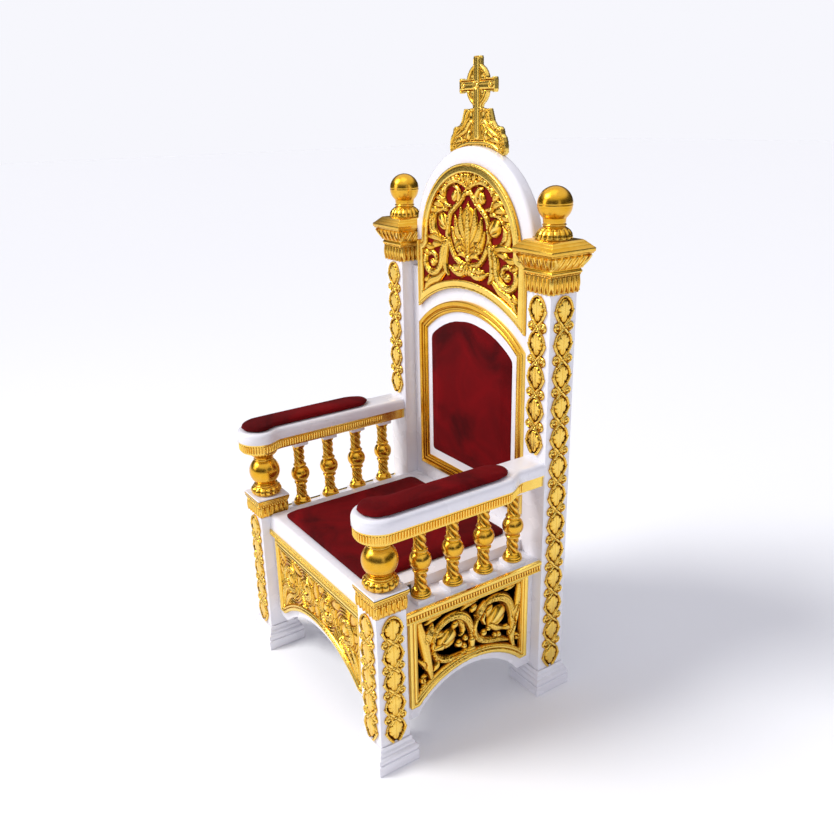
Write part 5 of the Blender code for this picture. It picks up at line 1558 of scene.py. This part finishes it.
for side, mark in SIDES:
    x = side * POST_X
    for row, y in (("front", FRONT_MID), ("rear", REAR_MID)):
        low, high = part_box("strip_%s_side_%s" % (row, mark))
        base = low.x if side > 0 else high.x
        strip("gilt_strip_%s_side_%s" % (row, mark), "strip_%s_side_%s" % (row, mark),
              lambda u, v, w: (base + side * w, y + u, v), high.x - low.x)
        low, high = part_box("strip_%s_face_%s" % (row, mark))
        front = high.y
        strip("gilt_strip_%s_face_%s" % (row, mark), "strip_%s_face_%s" % (row, mark),
              lambda u, v, w: (x + u, front - w, v), high.y - low.y)


# Velvet pads
CLOTH_FRAMES = 20


def stuffed(name, rings, node, cap, under, rise=(0, 0, 1)):
    """Pad blown up by a cloth simulation; points for which under(point) holds stay put."""
    mesh = raw_mesh(name, *skin(rings))
    obj = bpy.data.objects.new(name, mesh)
    scene.collection.objects.link(obj)
    remesh = obj.modifiers.new("Remesh", 'REMESH')
    remesh.mode = 'VOXEL'
    remesh.voxel_size = 0.009
    remesh.use_smooth_shade = True
    remade = bpy.data.meshes.new_from_object(obj.evaluated_get(bpy.context.evaluated_depsgraph_get()))
    obj.modifiers.clear()
    obj.data = remade
    bpy.data.meshes.remove(mesh)
    count = len(remade.vertices)
    start = np.empty(count * 3)
    remade.vertices.foreach_get("co", start)
    start = start.reshape(-1, 3)
    made = start.copy()
    pins = obj.vertex_groups.new(name="pins")
    pins.add([i for i in range(count) if under(start[i])], 1.0, 'REPLACE')
    cloth = obj.modifiers.new("Cloth", 'CLOTH')
    cloth.settings.use_pressure = True
    cloth.settings.uniform_pressure_force = 4.0
    cloth.settings.vertex_group_mass = "pins"
    cloth.settings.effector_weights.gravity = 0.0
    cloth.settings.tension_stiffness = 30.0
    for number in range(1, CLOTH_FRAMES + 1):
        scene.frame_set(number)
    shown = obj.evaluated_get(bpy.context.evaluated_depsgraph_get())
    blown = np.empty(count * 3)
    shown.data.vertices.foreach_get("co", blown)
    made = blown.reshape(-1, 3)
    obj.modifiers.clear()
    scene.frame_set(1)
    # Stuffing lifts the cover and leaves its outline in place
    lift = np.array(rise, float)
    step = np.maximum((made - start) @ lift, 0.0)[:, None] * lift
    reach = np.linalg.norm(step, axis=1, keepdims=True)
    made = start + step * np.minimum(1.0, cap / np.maximum(reach, 1e-9))
    remade.vertices.foreach_set("co", made.ravel())
    rounded = obj.modifiers.new("Subdivision", 'SUBSURF')
    rounded.levels = rounded.render_levels = 1
    finished = bpy.data.meshes.new_from_object(obj.evaluated_get(bpy.context.evaluated_depsgraph_get()))
    obj.modifiers.clear()
    obj.data = finished
    bpy.data.meshes.remove(remade)
    finished.shade_smooth()
    finished.materials.clear()
    finished.materials.append(VELVET)
    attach(obj, "root")
    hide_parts(node)
    return obj


def pad_rings(outline_at, height, to_world, swell=0.0012):
    """Rounded slab: the outline draws in towards the crown."""
    levels = ((0.0015, 0.0), (0.0, 0.12), (0.0, 0.45), (0.0020, 0.66), (0.0062, 0.84), (0.0135, 0.94),
              (0.030, 1.0))
    return [to_world(outline_at(inset + swell), height * rise) for inset, rise in levels]


low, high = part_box("seat_pad")
seat_x = (high.x - low.x) / 2.0
seat_y = (high.y - low.y) / 2.0
seat_mid = (high.y + low.y) / 2.0


def seat_plan(inset):
    return [(p.x, p.y) for p in rounded_ring(0.0, seat_mid, seat_x - inset, seat_y - inset, 0.0, 0.018)]


rings = pad_rings(seat_plan, high.z - low.z - 0.002, lambda o, h: [(u, v, low.z + h) for u, v in o])
stuffed("velvet_seat_pad", rings, "seat_pad", 0.004, lambda p: p[2] < low.z + 0.005)

pad_low, pad_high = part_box("back_pad")
pad_half = (pad_high.x - pad_low.x) / 2.0
pad_deep = pad_high.y - pad_low.y


def back_plan(inset):
    # The pad's arch is concentric with the frame's
    return arched_panel(pad_half - inset, pad_low.z + inset, pad_high.z - FRAME_C - inset, FRAME_C, 40)


rings = pad_rings(back_plan, pad_deep - 0.002, lambda o, h: [(u, pad_high.y - h, v) for u, v in o])
stuffed("velvet_back_pad", rings, "back_pad", 0.004, lambda p: p[1] > pad_high.y - 0.012, (0, -1, 0))

for side, mark in SIDES:
    low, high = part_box("arm_pad_" + mark)
    end_y = high.y
    tail = 0.12 * (BAY_HIGH - BAY_LOW)

    def arm_plan(inset):
        path = [p for p in set_in(ARM, 0.0125 + inset) if p[1] < end_y - tail]
        half = (path[0][0] - path[-1][0]) / 2.0
        middle = (path[0][0] + path[-1][0]) / 2.0
        for i in range(13):
            a = math.pi * i / 12.0
            path.append((middle - half * math.cos(a), end_y - inset - tail * (1.0 - math.sin(a))))
        return path

    rings = pad_rings(arm_plan, high.z - low.z - 0.002,
                      lambda o, h: [(side * x, y, low.z + h) for x, y in o])
    stuffed("velvet_arm_pad_" + mark, rings, "arm_pad_" + mark, 0.003, lambda p: p[2] < low.z + 0.005)


# Floor, light and camera
def plain(name, code, roughness):
    """Plain matt finish."""
    mat = bpy.data.materials.new(name)
    mat.use_nodes = True
    shader = mat.node_tree.nodes["Principled BSDF"]
    shader.inputs["Base Color"].default_value = colour(code)
    shader.inputs["Roughness"].default_value = roughness
    return mat


bm = bmesh.new()
bmesh.ops.create_grid(bm, x_segments=1, y_segments=1, size=40.0)
floor_mesh = bpy.data.meshes.new("floor")
bm.to_mesh(floor_mesh)
bm.free()
floor = bpy.data.objects.new("floor", floor_mesh)
floor.location.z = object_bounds()[0].z
floor_mesh.materials.append(plain("pale_floor", "#ffffff", 0.9))
scene.collection.objects.link(floor)
floor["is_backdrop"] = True


def area_light(name, place, aim, size, power, code):
    """Soft box that looks from its place to its aim."""
    lamp = bpy.data.lights.new(name, 'AREA')
    lamp.shape = 'RECTANGLE'
    lamp.size, lamp.size_y = size
    lamp.energy = power
    lamp.color = colour(code)[:3]
    obj = bpy.data.objects.new(name, lamp)
    obj.location = place
    obj.rotation_euler = (Vector(aim) - Vector(place)).to_track_quat('-Z', 'Y').to_euler()
    scene.collection.objects.link(obj)
    return obj


middle = Vector((0.0, 0.0, 0.9))
area_light("key", (-1.6, -3.8, 2.4), middle, (1.8, 2.2), 26.0, "#fffaf2")
area_light("right_fill", (4.4, -0.8, 2.2), middle, (1.2, 2.4), 6.0, "#eeeeff")
area_light("top", (0.2, -0.4, 4.4), middle, (2.0, 2.0), 10.0, "#ffffff")
wash = bpy.data.lights.new("wash", 'SUN')
wash.energy = 1.9
wash.angle = math.radians(24.0)
wash_obj = bpy.data.objects.new("wash", wash)
wash_obj.rotation_euler = Vector((1.6, 3.0, -3.4)).to_track_quat('-Z', 'Y').to_euler()
scene.collection.objects.link(wash_obj)
world = bpy.data.worlds.new("studio")
world.use_nodes = True
sky = world.node_tree
gaze = add(sky, "ShaderNodeTexCoord").outputs["Generated"]
height = add(sky, "ShaderNodeSeparateXYZ", links={"Vector": gaze}).outputs["Z"]
# Polished gold mirrors a dim studio with a bright ceiling; everything else is lit by a pale tent
shade = ramp(sky, height, [(0.0, colour("#3c3a3a")), (0.25, colour("#1c1a1a")), (0.45, colour("#6b6868")),
                           (0.62, colour("#f4f2f0")), (1.0, colour("#ffffff"))])
back = sky.nodes["Background"]
sky.links.new(shade, back.inputs["Color"])
tent = add(sky, "ShaderNodeBackground", values={"Color": colour("#e6e6f2"), "Strength": 0.66})
paper = add(sky, "ShaderNodeBackground", values={"Color": colour("#f7f7fd"), "Strength": 1.0})
ray = add(sky, "ShaderNodeLightPath")
lit = add(sky, "ShaderNodeMixShader", links={0: ray.outputs["Is Glossy Ray"], 1: tent.outputs[0],
                                             2: back.outputs[0]})
seen = add(sky, "ShaderNodeMixShader", links={0: ray.outputs["Is Camera Ray"], 1: lit.outputs[0],
                                              2: paper.outputs[0]})
sky.links.new(seen.outputs[0], sky.nodes["World Output"].inputs["Surface"])
scene.world = world
scene.view_settings.view_transform = 'Standard'

# Camera at the photograph's viewing angle
AZIMUTH, ELEVATION, ROLL = (math.radians(a) for a in (56.152634, 20.174739, -1.297469))
FOCAL = 822.0023        # in pixels of the photograph
PICTURE = 834.0         # width of the photograph in pixels
SENSOR = 36.0
CAMERA_PLACE = (1.90793, -1.20582, 1.65862)
lens = bpy.data.cameras.new("camera")
lens.lens = SENSOR * FOCAL / PICTURE
lens.clip_end = 80.0
camera = bpy.data.objects.new("camera", lens)
forward = Vector((-math.sin(AZIMUTH) * math.cos(ELEVATION), math.cos(AZIMUTH) * math.cos(ELEVATION),
                  -math.sin(ELEVATION)))
right = Vector((math.cos(AZIMUTH), math.sin(AZIMUTH), 0.0))
up = right.cross(forward)
across = right * math.cos(ROLL) + up * math.sin(ROLL)
upward = up * math.cos(ROLL) - right * math.sin(ROLL)
turn = Matrix((across, upward, -forward)).transposed()
camera.matrix_world = Matrix.Translation(CAMERA_PLACE) @ turn.to_4x4()
scene.collection.objects.link(camera)
scene.camera = camera

# Size after dressing
low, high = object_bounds()
